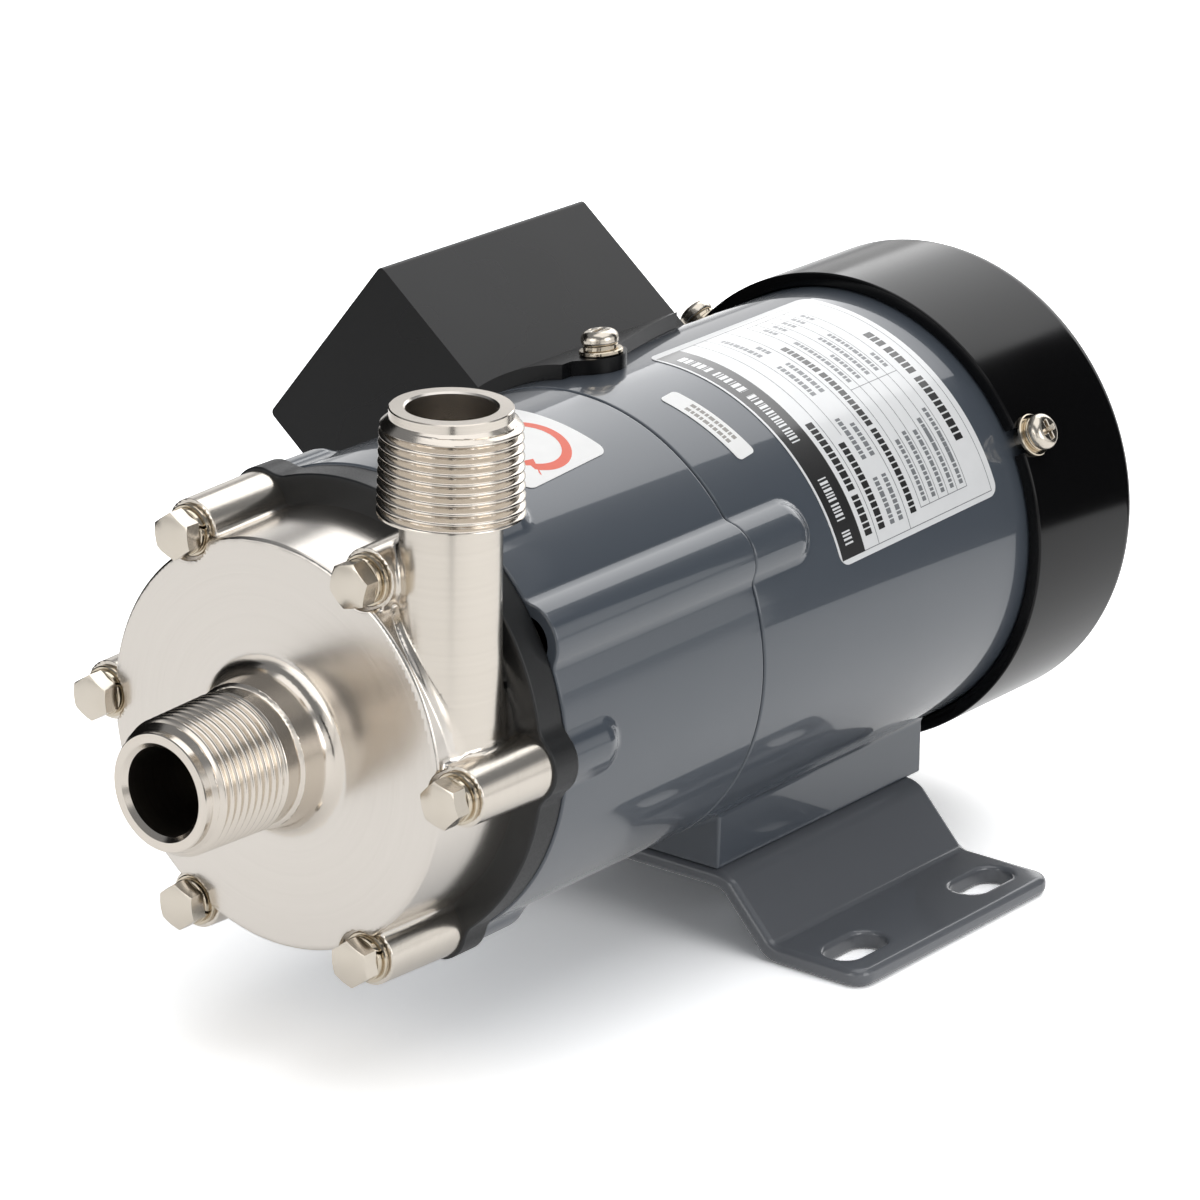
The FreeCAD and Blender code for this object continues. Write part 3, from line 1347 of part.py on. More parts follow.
def make_plate_fasteners():
    """Hexagon bolts up through the raised bed into the pedestal, with lock washers."""
    bolts, locks = new_body("base_plate_screws"), new_body("base_plate_lock_washers")
    for x, y in plate_screw_places():
        place = {"axis_x": x, "plane": "XZ_Plane", "lift": f"-({y})"}
        rod(bolts, "bolt_radius", "plate_screw_head", "plate_screw_head + plate_screw_length", **place)
        sketch = new_sketch(bolts, "XY_Plane", lift="plate_screw_head - bolt_head_height")
        draw_outline(sketch, hexagon("bolt_head_flats", x, y))
        pad(bolts, sketch, "bolt_head_height")
        sleeve(locks, "bolt_radius + washer_gap", "lock_washer_radius",
               "plate_screw_head", "plate_top - plate_thickness", **place)


def check_document():
    """Stop where any feature failed or a sub-part has no sound shape."""
    DOC.recompute()
    failed = [item.Label for item in DOC.Objects if {"Invalid", "Error"} & set(item.State)]
    unsound = [node.Label for node in NODES if node.Shape.isNull() or not node.Shape.isValid()]
    if failed or unsound:
        raise RuntimeError(f"did not build: {failed}, no sound shape: {unsound}")


def write_parts():
    """Write each sub-part to its own file."""
    os.makedirs("parts", exist_ok=True)
    for node in NODES:
        print(node.Label, len(node.Shape.Solids), round(node.Shape.Volume, 1))
        node.Shape.exportStep(f"parts/{node.Label}.step")


make_suction_port()
make_pump_head()
make_discharge_port()
make_casing_fasteners()
make_rear_casing()
make_o_ring()
make_spindle()
make_impeller()
make_magnets()
make_bracket()
make_tie_bolts()
make_motor_frame()
make_stator()
make_rotor()
make_bearings()
make_end_shield()
make_fan()
make_fan_cover()
radial_screws("fan_cover", small_screw_places()[:3], "cover_radius")
make_terminal_box()
make_box_contents()
make_base_plate()
make_plate_fasteners()
check_document()
write_parts()
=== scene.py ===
"""Looks of a magnetic drive pump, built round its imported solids.

The frame's +Y runs along the shaft to the fan cover, +Z is up and the discharge side is +X.
Sizes of pieces are written in millimetres and become metres where a mesh is made.
"""

import math

import bmesh
import bpy
import numpy as np
from mathutils import Matrix, Vector


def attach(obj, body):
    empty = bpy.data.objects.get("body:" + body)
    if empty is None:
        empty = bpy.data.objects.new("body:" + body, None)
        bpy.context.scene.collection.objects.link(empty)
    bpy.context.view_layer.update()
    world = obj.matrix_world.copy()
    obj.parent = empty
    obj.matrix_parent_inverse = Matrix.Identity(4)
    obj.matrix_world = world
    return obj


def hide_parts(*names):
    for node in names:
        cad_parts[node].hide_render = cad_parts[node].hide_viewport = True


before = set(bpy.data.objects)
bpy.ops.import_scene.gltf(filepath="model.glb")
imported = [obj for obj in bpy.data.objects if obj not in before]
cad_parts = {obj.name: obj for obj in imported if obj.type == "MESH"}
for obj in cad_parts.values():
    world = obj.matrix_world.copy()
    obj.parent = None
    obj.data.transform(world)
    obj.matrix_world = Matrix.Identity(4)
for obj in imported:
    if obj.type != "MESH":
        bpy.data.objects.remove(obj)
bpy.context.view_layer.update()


# ---- Studio
# White paper on a product photographer's table, in a grey room. Soft lamps overhead, behind and at both
# sides draw the long highlights, and black flags keep the paper out of the parts that should look dark.
MM = 0.001
FLOOR_Z = -66.7 * MM
FLOOR_HALF = 40.0
NEAR_PAPER, FAR_PAPER = 0.5, 2.0
CAMERA_PLACE = (0.640623, -0.696714, 0.376297)
CAMERA_RIGHT = (0.784702, 0.619769, 0.011401)
CAMERA_UP = (-0.215961, 0.256100, 0.942217)
CAMERA_BACK = (0.581037, -0.741822, 0.334808)
LENS = 169.403
SHIFT = (0.01838, -0.01408)
PUMP_MIDDLE = (0, 0.12, 0)
PAPER_GAIN, FAR_PAPER_GAIN, PAPER_GLOW = 2.05, 3.2, 0.18
ROOM_LIGHT = 0.40
WHITE_UP_TO, GREY_FROM = 0.26, 0.42


def linear(colour):
    """A hex sRGB colour as linear RGBA."""
    channels = [int(colour[i:i + 2], 16) / 255 for i in (0, 2, 4)]
    return tuple(c / 12.92 if c <= 0.04045 else ((c + 0.055) / 1.055) ** 2.4 for c in channels) + (1.0,)


def linked(piece):
    """Puts a new object into the scene."""
    bpy.context.scene.collection.objects.link(piece)
    return piece


def add(tree, kind, sockets=None, **settings):
    """Adds a node with its settings. A socket is given a plain value, or an output, which is linked."""
    node = tree.nodes.new(kind)
    for name, value in settings.items():
        setattr(node, name, value)
    for name, value in (sockets or {}).items():
        if isinstance(value, bpy.types.NodeSocket):
            tree.links.new(value, node.inputs[name])
        else:
            node.inputs[name].default_value = value
    return node


def blank_material(name):
    """A new material with an empty tree."""
    made = bpy.data.materials.new(name)
    made.use_nodes = True
    made.node_tree.nodes.clear()
    return made, made.node_tree


def soft_lamp(name, place, size, brightness):
    """A rectangular soft lamp at a place, turned to the pump. Its brightness is that of its face."""
    lamp = bpy.data.lights.new(name, "AREA")
    lamp.shape = "RECTANGLE"
    lamp.size, lamp.size_y = size
    lamp.energy = brightness * math.pi * size[0] * size[1]
    holder = linked(bpy.data.objects.new(name, lamp))
    holder.location = place
    holder.rotation_mode = "QUATERNION"
    holder.rotation_quaternion = (Vector(PUMP_MIDDLE) - Vector(place)).to_track_quat("-Z", "Y")


def standing_flag(name, start, end, height):
    """A black card that stands on the table between two places. Only reflections show it."""
    mesh = bpy.data.meshes.new(name)
    top = FLOOR_Z + height
    mesh.from_pydata([(*start, FLOOR_Z), (*end, FLOOR_Z), (*end, top), (*start, top)], [], [(0, 1, 2, 3)])
    mesh.materials.append(black_card)
    flag = linked(bpy.data.objects.new(name, mesh))
    flag.visible_camera = flag.visible_diffuse = flag.visible_shadow = flag.visible_transmission = False


camera = linked(bpy.data.objects.new("camera", bpy.data.cameras.new("camera")))
columns = [Vector(axis) for axis in (CAMERA_RIGHT, CAMERA_UP, CAMERA_BACK)]
camera.rotation_mode = "QUATERNION"
camera.rotation_quaternion = Matrix(columns).transposed().to_quaternion()
camera.location = CAMERA_PLACE
camera.data.lens = LENS
camera.data.shift_x, camera.data.shift_y = SHIFT
camera.data.clip_start, camera.data.clip_end = 0.05, 200.0
bpy.context.scene.camera = camera
bpy.context.scene.view_settings.view_transform = "Standard"

# White studio paper: overexposed for the camera, so that only the deep shadow stays, and aglow in mirrors
paper, tree = blank_material("white_studio_paper")
path = add(tree, "ShaderNodeLightPath")
# Far from the lamps the paper is exposed more, so that it stays white up to the horizon
place = add(tree, "ShaderNodeTexCoord").outputs["Object"]
distance = add(tree, "ShaderNodeVectorMath", {0: place}, operation="LENGTH")
gain = add(tree, "ShaderNodeMapRange", {"Value": distance.outputs["Value"], "From Min": NEAR_PAPER,
                                        "From Max": FAR_PAPER, "To Min": PAPER_GAIN,
                                        "To Max": FAR_PAPER_GAIN})
shade = add(tree, "ShaderNodeMix", {"Factor": path.outputs["Is Camera Ray"], 6: linear("F6F6F6"),
                                    7: gain.outputs[0]}, data_type="RGBA")
diffuse = add(tree, "ShaderNodeBsdfDiffuse", {"Color": shade.outputs[2]})
glow = add(tree, "ShaderNodeEmission", {"Color": linear("FFFFFF"), "Strength": PAPER_GLOW})
both = add(tree, "ShaderNodeAddShader", {0: diffuse.outputs[0], 1: glow.outputs[0]})
mirrored = add(tree, "ShaderNodeMath",
               {0: path.outputs["Is Glossy Ray"], 1: path.outputs["Is Transmission Ray"]},
               operation="ADD", use_clamp=True)
mixed = add(tree, "ShaderNodeMixShader", {0: mirrored.outputs[0], 1: diffuse.outputs[0], 2: both.outputs[0]})
add(tree, "ShaderNodeOutputMaterial", {"Surface": mixed.outputs[0]})
floor_mesh = bpy.data.meshes.new("floor")
floor_mesh.from_pydata(
    [(-FLOOR_HALF, -FLOOR_HALF, FLOOR_Z), (FLOOR_HALF, -FLOOR_HALF, FLOOR_Z),
     (FLOOR_HALF, FLOOR_HALF, FLOOR_Z), (-FLOOR_HALF, FLOOR_HALF, FLOOR_Z)], [], [(0, 1, 2, 3)])
floor_mesh.materials.append(paper)
floor = linked(bpy.data.objects.new("floor", floor_mesh))

world = bpy.data.worlds.new("studio")
world.use_nodes = True
tree = world.node_tree
tree.nodes.clear()
path = add(tree, "ShaderNodeLightPath")
mirrored = add(tree, "ShaderNodeMath", {0: path.outputs["Is Camera Ray"], 1: path.outputs["Is Glossy Ray"]},
               operation="ADD")
seen = add(tree, "ShaderNodeMath", {0: mirrored.outputs[0], 1: path.outputs["Is Transmission Ray"]},
           operation="ADD", use_clamp=True)
plain = add(tree, "ShaderNodeBackground", {"Color": linear("F4F5F6"), "Strength": ROOM_LIGHT})
# The room is white round the paper and grey overhead
where = add(tree, "ShaderNodeTexCoord")
height = add(tree, "ShaderNodeSeparateXYZ", {0: where.outputs["Generated"]})
ramp = add(tree, "ShaderNodeValToRGB", {0: height.outputs["Z"]})
ramp.color_ramp.elements[0].position = WHITE_UP_TO
ramp.color_ramp.elements[0].color = (1, 1, 1, 1)
ramp.color_ramp.elements[1].position = GREY_FROM
ramp.color_ramp.elements[1].color = linear("85878A")
backdrop = add(tree, "ShaderNodeBackground", {"Color": ramp.outputs[0], "Strength": 1.0})
mixed = add(tree, "ShaderNodeMixShader", {0: seen.outputs[0], 1: plain.outputs[0], 2: backdrop.outputs[0]})
add(tree, "ShaderNodeOutputWorld", {"Surface": mixed.outputs[0]})
bpy.context.scene.world = world

soft_lamp("overhead_softbox", (0.15, 0.12, 1.1), (1.1, 1.3), 1.1)
soft_lamp("rear_softbox", (-0.20, 0.98, 0.69), (0.94, 1.0), 1.75)
soft_lamp("front_left_softbox", (-0.14, -0.85, 0.33), (0.62, 0.6), 1.3)
soft_lamp("right_softbox", (0.98, 0.08, 0.36), (0.55, 0.6), 2.1)

# Black flannel on card: it gives almost no light back
black_card, tree = blank_material("black_flannel")
flannel = add(tree, "ShaderNodeBsdfDiffuse", {"Color": linear("0A0A0A")})
add(tree, "ShaderNodeOutputMaterial", {"Surface": flannel.outputs[0]})
standing_flag("rear_right_flag", (0.08, 0.40), (0.46, 0.61), 0.42)
standing_flag("front_flag", (0.245, -0.248), (0.285, -0.202), 0.30)
standing_flag("left_flag", (-0.42, -0.22), (-0.42, 0.36), 0.42)


# ---- Pump head
# Front casing of the pump, welded up from stainless steel: a drum with a machined front, six bolt
# tubes round it and a neck that stands tangent to the chamber. The front is turned, the rest is satin.
BOLT_CIRCLE = 42.5
BOLT_COUNT = 6
CASING_FRONT, FLANGE_FRONT = 30.8, 52.2
BOSS_FRONT = 33.0
NECK_X, NECK_Y, NECK_RADIUS, NECK_TOP = 32.5, 42.6, 9.4, 49.6
NIPPLE_REAR = 23.2
WELD_BEAD = 0.95
DRUM_RADIUS, DRUM_DRAFT = 39.6, 0.035
BOSS_RADIUS, BOSS_DRAFT, BOSS_SEAT = 5.75, 0.031, 5.5
CHAMBER_RADIUS, CHAMBER_FRONT = 34.6, 34.8
SEAL_RADIUS, SEAL_FRONT = 35.1, 48.2
SUCTION_HOLE, NECK_BORE, NECK_BORE_END = 10.25, 6.4, 4.0
BOLT_HOLE = 2.75
COLLAR_EDGE, COLLAR_FRONT_RADIUS, COLLAR_FLARE = 17.4, 13.2, 1.33
COLLAR_RADIUS, COLLAR_TAPER_START, COLLAR_TAPER = 14.0, 23.8, 0.171
CLOUD_WIDTH = 9.0


def meet(u, v, edge=0.0):
    """Distance to what two forms have in common, with an edge of that radius between them."""
    corner = np.hypot(np.maximum(u + edge, 0), np.maximum(v + edge, 0))
    return np.minimum(np.maximum(u, v) + edge, 0) + corner - edge


def melt(u, v, fillet):
    """Distance to two forms joined, with a fillet of that radius in their corner."""
    return -meet(-u, -v, fillet)


def slab(value, low, high):
    """Distance to all that lies between two planes."""
    return np.maximum(low - value, value - high)


def folded(x, z, count, first=0.0):
    """Turns points into one sector of a ring of equal places: the coordinates along and across its middle."""
    sector = math.tau / count
    angle = np.mod(np.arctan2(z, x) - math.radians(first) + sector / 2, sector) - sector / 2
    radius = np.hypot(x, z)
    return radius * np.cos(angle), radius * np.sin(angle)


def spread(*runs):
    """Grid lines from runs of (start, spacing), the last of which is (end, None)."""
    lines = []
    for (start, step), (end, _) in zip(runs, runs[1:]):
        count = max(1, round((end - start) / step))
        lines += [start + (end - start) * i / count for i in range(count)]
    return np.array(lines + [runs[-1][0]])


def slope_of(rule, points, reach=0.01):
    """Unit directions in which a form's distance grows."""
    columns = []
    for axis in range(3):
        step = np.zeros(3)
        step[axis] = reach
        columns.append(rule(*(points + step).T) - rule(*(points - step).T))
    slope = np.array(columns).T
    return slope / np.maximum(np.linalg.norm(slope, axis=1, keepdims=True), 1e-12)


def formed(name, rule, turns, radii, lengths, polar=True):
    """Meshes the skin of a form given by its distance rule, on a grid round the shaft or a square one.

    Each cell that the skin crosses gets one vertex, placed where the flat pieces of skin in it meet, so that
    edges stay crisp. Every face corner gets the true normal of the form beside it.
    """
    axes = [np.asarray(line, float) for line in (turns, radii, lengths)]
    sizes = [len(axis) for axis in axes]

    def placed(a, b, c):
        return (b * np.cos(a), c, b * np.sin(a)) if polar else (a, c, b)

    grid = np.meshgrid(*axes, indexing="ij")
    depth = rule(*placed(*grid))
    cells = [sizes[0] if polar else sizes[0] - 1, sizes[1] - 1, sizes[2] - 1]
    sums = np.zeros((int(np.prod(cells)), 13))
    faces = []
    for k in range(3):
        after = np.roll(depth, -1, axis=k)
        crossed = (depth < 0) != (after < 0)
        if not (polar and k == 0):
            edge_slice = [slice(None)] * 3
            edge_slice[k] = slice(sizes[k] - 1, None)
            crossed[tuple(edge_slice)] = False
        at = np.argwhere(crossed)
        d0, d1 = depth[crossed], after[crossed]
        start = np.stack([axes[i][at[:, i]] for i in range(3)], axis=1)
        end = start.copy()
        if polar and k == 0:
            following = np.append(axes[0][1:], axes[0][0] + math.tau)
            end[:, 0] = following[at[:, 0]]
        else:
            end[:, k] = axes[k][at[:, k] + 1]
        low, high = np.zeros(len(at)), np.ones(len(at))
        for _ in range(3):
            share = low + (high - low) * d0 / (d0 - d1)
            middle = start + (end - start) * share[:, None]
            dm = rule(*placed(*middle.T))
            same = (dm < 0) == (d0 < 0)
            low, d0 = np.where(same, share, low), np.where(same, dm, d0)
            high, d1 = np.where(same, high, share), np.where(same, d1, dm)
            exact = dm == 0
            d0, d1 = np.where(exact, -1e-9, d0), np.where(exact, 1e-9, d1)
        points = np.stack(placed(*(start + (end - start) * ((low + high) / 2)[:, None]).T), axis=1)
        points -= slope_of(rule, points) * rule(*points.T)[:, None]
        normals = slope_of(rule, points)
        near = normals * np.sum(normals * points, axis=1, keepdims=True)
        outer = normals[:, [0, 0, 0, 1, 1, 2]] * normals[:, [0, 1, 2, 1, 2, 2]]
        facts = np.concatenate([outer, near, points, np.ones((len(at), 1))], axis=1)
        across = [i for i in range(3) if i != k]
        corners, valid = [], np.ones(len(at), bool)
        for back in ((0, 0), (1, 0), (1, 1), (0, 1)):
            cell = at.copy()
            for axis, step in zip(across, back):
                cell[:, axis] -= step
                if polar and axis == 0:
                    cell[:, axis] %= sizes[0]
                else:
                    valid &= (cell[:, axis] >= 0) & (cell[:, axis] < cells[axis])
            corners.append((cell[:, 0] * cells[1] + cell[:, 1]) * cells[2] + cell[:, 2])
        for corner in corners:
            inside = (corner >= 0) & (corner < len(sums)) & valid
            for column in range(13):
                sums[:, column] += np.bincount(corner[inside], facts[inside, column], len(sums))
        faces.append((np.stack(corners, axis=1)[valid], normals[valid]))
    used = sums[:, 12] > 0
    facts = sums[used]
    count = facts[:, 12:13]
    mean = facts[:, 9:12] / count
    square = facts[:, [0, 1, 2, 1, 3, 4, 2, 4, 5]].reshape(-1, 3, 3) / count[:, :, None]
    wanted = facts[:, 6:9] / count - np.einsum("nij,nj->ni", square, mean)
    strength, ways = np.linalg.eigh(square)
    kept = np.where(strength > 0.06, 1 / np.maximum(strength, 1e-9), 0)
    move = np.einsum("nij,nj,nkj,nk->ni", ways, kept, ways, wanted)
    reach = np.linalg.norm(move, axis=1, keepdims=True)
    cell_size = max(np.median(np.diff(axes[2])), np.median(np.diff(axes[1])))
    vertices = mean + move * np.minimum(1, cell_size * 1.5 / np.maximum(reach, 1e-9))
    flat_cell = strength[:, 1] < 0.05
    fix = slope_of(rule, vertices) * rule(*vertices.T)[:, None]
    vertices = np.where(flat_cell[:, None], vertices - fix, vertices)
    number = np.cumsum(used) - 1
    quads = number[np.concatenate([f for f, _ in faces])]
    toward = np.concatenate([n for _, n in faces])
    return skinned(name, rule, vertices, quads, toward)


def skinned(name, rule, vertices, quads, toward):
    """The mesh object of a formed piece, with faces turned outwards and the form's own normals."""
    diagonals = (vertices[quads[:, 2]] - vertices[quads[:, 0]], vertices[quads[:, 3]] - vertices[quads[:, 1]])
    facing = np.sum(np.cross(*diagonals) * toward, axis=1)
    quads = np.where((facing < 0)[:, None], quads[:, ::-1], quads)
    mesh = bpy.data.meshes.new(name)
    mesh.from_pydata((vertices * MM).tolist(), [], quads.tolist())
    building = bmesh.new()
    building.from_mesh(mesh)
    bmesh.ops.remove_doubles(building, verts=building.verts, dist=1e-7)
    open_edges = [edge for edge in building.edges if edge.is_boundary]
    if open_edges:
        bmesh.ops.holes_fill(building, edges=open_edges, sides=0)
    bmesh.ops.dissolve_degenerate(building, edges=building.edges, dist=1e-7)
    building.to_mesh(mesh)
    building.free()
    count = len(mesh.loops)
    corner_vertex = np.zeros(count, int)
    mesh.loops.foreach_get("vertex_index", corner_vertex)
    places = np.zeros(len(mesh.vertices) * 3)
    mesh.vertices.foreach_get("co", places)
    places = places.reshape(-1, 3) / MM
    starts, totals = np.zeros(len(mesh.polygons), int), np.zeros(len(mesh.polygons), int)
    mesh.polygons.foreach_get("loop_start", starts)
    mesh.polygons.foreach_get("loop_total", totals)
    face_of = np.repeat(np.arange(len(starts)), totals)
    order = np.concatenate([np.arange(s, s + t) for s, t in zip(starts, totals)]) if len(starts) else []
    at = places[corner_vertex[order]]
    middles = np.stack([np.bincount(face_of, at[:, i]) for i in range(3)], axis=1) / totals[:, None]
    inside = at + (middles[face_of] - at) * 0.25
    inside -= slope_of(rule, inside) * rule(*inside.T)[:, None]
    normals = np.zeros((count, 3))
    normals[order] = slope_of(rule, inside)
    mesh.shade_smooth()
    mesh.normals_split_custom_set(normals.tolist())
    return linked(bpy.data.objects.new(name, mesh))


def fit(piece, body, slot, finishes, *nodes):
    """A piece gets its finishes, moves with its body and stands for its CAD nodes."""
    piece.data.materials.clear()
    for finish in finishes:
        piece.data.materials.append(finish)
    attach(piece, body)
    if nodes:
        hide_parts(*nodes)
    return piece


def bolt_distance(x, z):
    """How far points are from the nearest bolt's axis."""
    along, across = folded(x, z, BOLT_COUNT)
    return np.hypot(along - BOLT_CIRCLE, across)


def head_drum(x, y, z):
    """Drum and collar of the pump head."""
    radius = np.hypot(x, z)
    drum = meet(radius - DRUM_RADIUS - (y - CASING_FRONT) * DRUM_DRAFT, CASING_FRONT - y, 0.8)
    collar_radius = np.minimum(COLLAR_FRONT_RADIUS + (y - NIPPLE_REAR) * COLLAR_FLARE,
                               COLLAR_RADIUS + (y - COLLAR_TAPER_START) * COLLAR_TAPER)
    collar = meet(radius - collar_radius, NIPPLE_REAR - y, 0.25)
    return melt(drum, collar, 3.0)


def head_boss(x, y, z):
    """The bolt tubes of the pump head."""
    tube = bolt_distance(x, z) - BOSS_RADIUS - (y - BOSS_FRONT) * BOSS_DRAFT
    return meet(tube, BOSS_FRONT - y, 0.35)


def head_neck(x, y, z):
    """The discharge neck of the pump head."""
    return meet(np.hypot(x - NECK_X, y - NECK_Y) - NECK_RADIUS, slab(z, 1.0, NECK_TOP), 0.3)


def pump_head(x, y, z):
    """The whole pump head, with its chamber, bores and the seats of its bolts."""
    radius, from_bolt = np.hypot(x, z), bolt_distance(x, z)
    drum, neck = head_drum(x, y, z), head_neck(x, y, z)
    outside = melt(melt(drum, head_boss(x, y, z), 1.4), neck, 1.6)
    outside = melt(outside, np.hypot(drum, neck) - WELD_BEAD, 0.5)
    seat = meet(from_bolt - BOSS_SEAT, y - BOSS_FRONT)
    hollow = np.minimum.reduce([
        meet(radius - CHAMBER_RADIUS, CHAMBER_FRONT - y, 0.5), meet(radius - SEAL_RADIUS, SEAL_FRONT - y),
        radius - SUCTION_HOLE, from_bolt - BOLT_HOLE,
        meet(np.hypot(x - NECK_X, y - NECK_Y) - NECK_BORE, NECK_BORE_END - z)])
    outside = meet(meet(outside, -seat, 0.3), y - FLANGE_FRONT)
    return meet(outside, -hollow)


def direction_attribute(piece, name, directions):
    """Stores one direction for each vertex of a piece."""
    made = piece.data.attributes.new(name, "FLOAT_VECTOR", "POINT")
    made.data.foreach_set("vector", np.asarray(directions, np.float32).ravel())


def number_attribute(piece, name, numbers):
    """Stores one number for each vertex of a piece."""
    made = piece.data.attributes.new(name, "FLOAT", "POINT")
    made.data.foreach_set("value", np.asarray(numbers, np.float32))


def places_of(parts, kind):
    """The places of a mesh's vertices or faces in millimetres, as three rows."""
    places = np.zeros(len(parts) * 3)
    parts.foreach_get(kind, places)
    return places.reshape(-1, 3).T / MM


def corner_places(piece):
    """A piece's vertices in millimetres, as three rows."""
    return places_of(piece.data.vertices, "co")


def lathe_marks(piece, x, y, z, upright=None):
    """Stores the way a tool went round the piece, and the place across its marks in millimetres."""
    shaft_way = np.stack([z, np.zeros_like(x), -x], axis=1)
    way, across = shaft_way, np.hypot(x, z) + y
    if upright is not None:
        neck_way = np.stack([-(y - NECK_Y), x - NECK_X, np.zeros_like(x)], axis=1)
        way = np.where(upright[:, None], neck_way, shaft_way)
        across = np.where(upright, z, across)
    way = way / np.maximum(np.linalg.norm(way, axis=1, keepdims=True), 1e-9)
    direction_attribute(piece, "tool_way", way)
    number_attribute(piece, "across_marks", across)


def clouds(tree, place, width_mm, detail):
    """A noise pattern whose clouds are about that wide."""
    return add(tree, "ShaderNodeTexNoise", {"Vector": place, "Scale": 1 / (width_mm * MM), "Detail": detail})


def finish_tree(tree, patterns, tones, rough, relief_mm, sockets):
    """Ends a material's tree: its patterns drive the tone between two, the roughness and the relief."""
    tone, grain, height = (pattern.outputs["Fac"] for pattern in patterns)
    shade = add(tree, "ShaderNodeMix", {"Factor": tone, 6: linear(tones[0]), 7: linear(tones[1])},
                data_type="RGBA")
    roughness = add(tree, "ShaderNodeMapRange", {"Value": grain, "From Min": 0.3, "From Max": 0.7,
                                                 "To Min": rough[0], "To Max": rough[1]})
    relief = add(tree, "ShaderNodeBump", {"Height": height, "Strength": 1.0, "Distance": relief_mm * MM})
    shader = add(tree, "ShaderNodeBsdfPrincipled", {
        "Base Color": shade.outputs[2], "Roughness": roughness.outputs[0], "Normal": relief.outputs[0],
        **sockets})
    add(tree, "ShaderNodeOutputMaterial", {"Surface": shader.outputs[0]})


def steel_finish(name, pale, dark, rough, marks_mm, relief_mm, anisotropy):
    """Bare steel whose tool marks follow the piece's own attributes."""
    made, tree = blank_material(name)
    way = add(tree, "ShaderNodeAttribute", attribute_name="tool_way")
    turned_way = add(tree, "ShaderNodeVectorTransform", {0: way.outputs["Vector"]},
                     vector_type="VECTOR", convert_from="OBJECT", convert_to="WORLD")
    across = add(tree, "ShaderNodeAttribute", attribute_name="across_marks")
    object_place = add(tree, "ShaderNodeTexCoord").outputs["Object"]
    stretched = add(tree, "ShaderNodeMath", {0: across.outputs["Fac"], 1: 1 / marks_mm}, operation="MULTIPLY")
    drift = clouds(tree, object_place, CLOUD_WIDTH, 3.0)
    line_place = add(tree, "ShaderNodeCombineXYZ", {"X": stretched.outputs[0], "Y": drift.outputs["Fac"]})
    lines = add(tree, "ShaderNodeTexNoise", {"Vector": line_place.outputs[0], "Scale": 1.0, "Detail": 4.0,
                                             "Roughness": 0.7})
    finish_tree(tree, (lines, lines, lines), (pale, dark), rough, relief_mm,
                {"Metallic": 1.0, "Anisotropic": anisotropy, "Tangent": turned_way.outputs[0]})
    return made


# Stainless steel turned in a lathe: fine rings that stretch each light into a fan
turned_steel = steel_finish("turned_stainless_steel", "E0DAD3", "DAD4CC", (0.20, 0.25), 0.45, 0.0002, 0.4)
# Stainless tube glass-bead blasted after welding: an even, soft, slightly warm sheen
satin_steel = steel_finish("bead_blasted_stainless_steel", "DFD8CE", "D7CFC4", (0.20, 0.26), 0.8, 0.0006, 0.2)
# Ports and collar turned from bar with a fine feed and polished with cloth: a mirror gone a little soft
polished_steel = steel_finish("polished_stainless_bar", "E2DAD0", "D8D0C5", (0.16, 0.20), 0.3, 0.0001, 0.3)

head = formed("welded_pump_head", pump_head, spread((-50, 0.75), (50, None)), spread((-45, 0.75), (49, None)),
              spread((22.6, 0.25), (24.2, 0.7), (30.2, 0.25), (34.0, 0.8), (52.6, None)), polar=False)
places = corner_places(head)
upright = (head_neck(*places) < 0.4) & (head_neck(*places) < head_drum(*places))
lathe_marks(head, *places, upright)
fit(head, "housing", "stainless", [turned_steel, satin_steel, polished_steel], "pump_head")
middles = places_of(head.data.polygons, "center")
welded = np.minimum(head_boss(*middles), head_neck(*middles)) < head_drum(*middles)
collar = np.hypot(middles[0], middles[2]) < COLLAR_EDGE
head.data.polygons.foreach_set("material_index", np.where(collar, 2, welded.astype(int)))


# ---- Threaded ports
# Two nipples of bright stainless bar with tapered pipe threads, 14 turns to the inch, cut in a lathe and
# welded to the head: one on the shaft's axis for suction, one on the neck for discharge.
PITCH, THREAD_DEPTH, THREAD_TAPER = 1.814, 1.16, 1 / 32
CREST_SHAPE, RUN_OUT, ROWS_IN_A_TURN = 0.65, 1.4, 20
CREST_RADIUS, CREST_PLACE, THREAD_END = 13.0, 2.6, 19.7
NOSE_RADIUS, NOSE_LENGTH, NOSE_SLOPE = 11.3, 1.8, 1.13
SUCTION_BORE, SUCTION_CHAMFER, SPIGOT_RADIUS, SPIGOT_END = 8.5, 0.9, 10.2, 30.0
DISCHARGE_BORE, DISCHARGE_CHAMFER, DISCHARGE_END, DISCHARGE_TOP = 8.3, 0.35, 19.8, 69.4
SUCTION_ROOT, SUCTION_ROOT_PLACE, DISCHARGE_ROOT = 13.2, 20.1, 13.3
AROUND = 192


def thread_radius(angle, y, crest, root_fade):
    """Radius of a tapered thread with rounded crests and narrow valleys."""
    turn = y / PITCH - angle / math.tau
    wave = (0.5 + 0.5 * math.cos(math.tau * turn)) ** CREST_SHAPE
    return crest - THREAD_DEPTH * (1 - wave) * root_fade


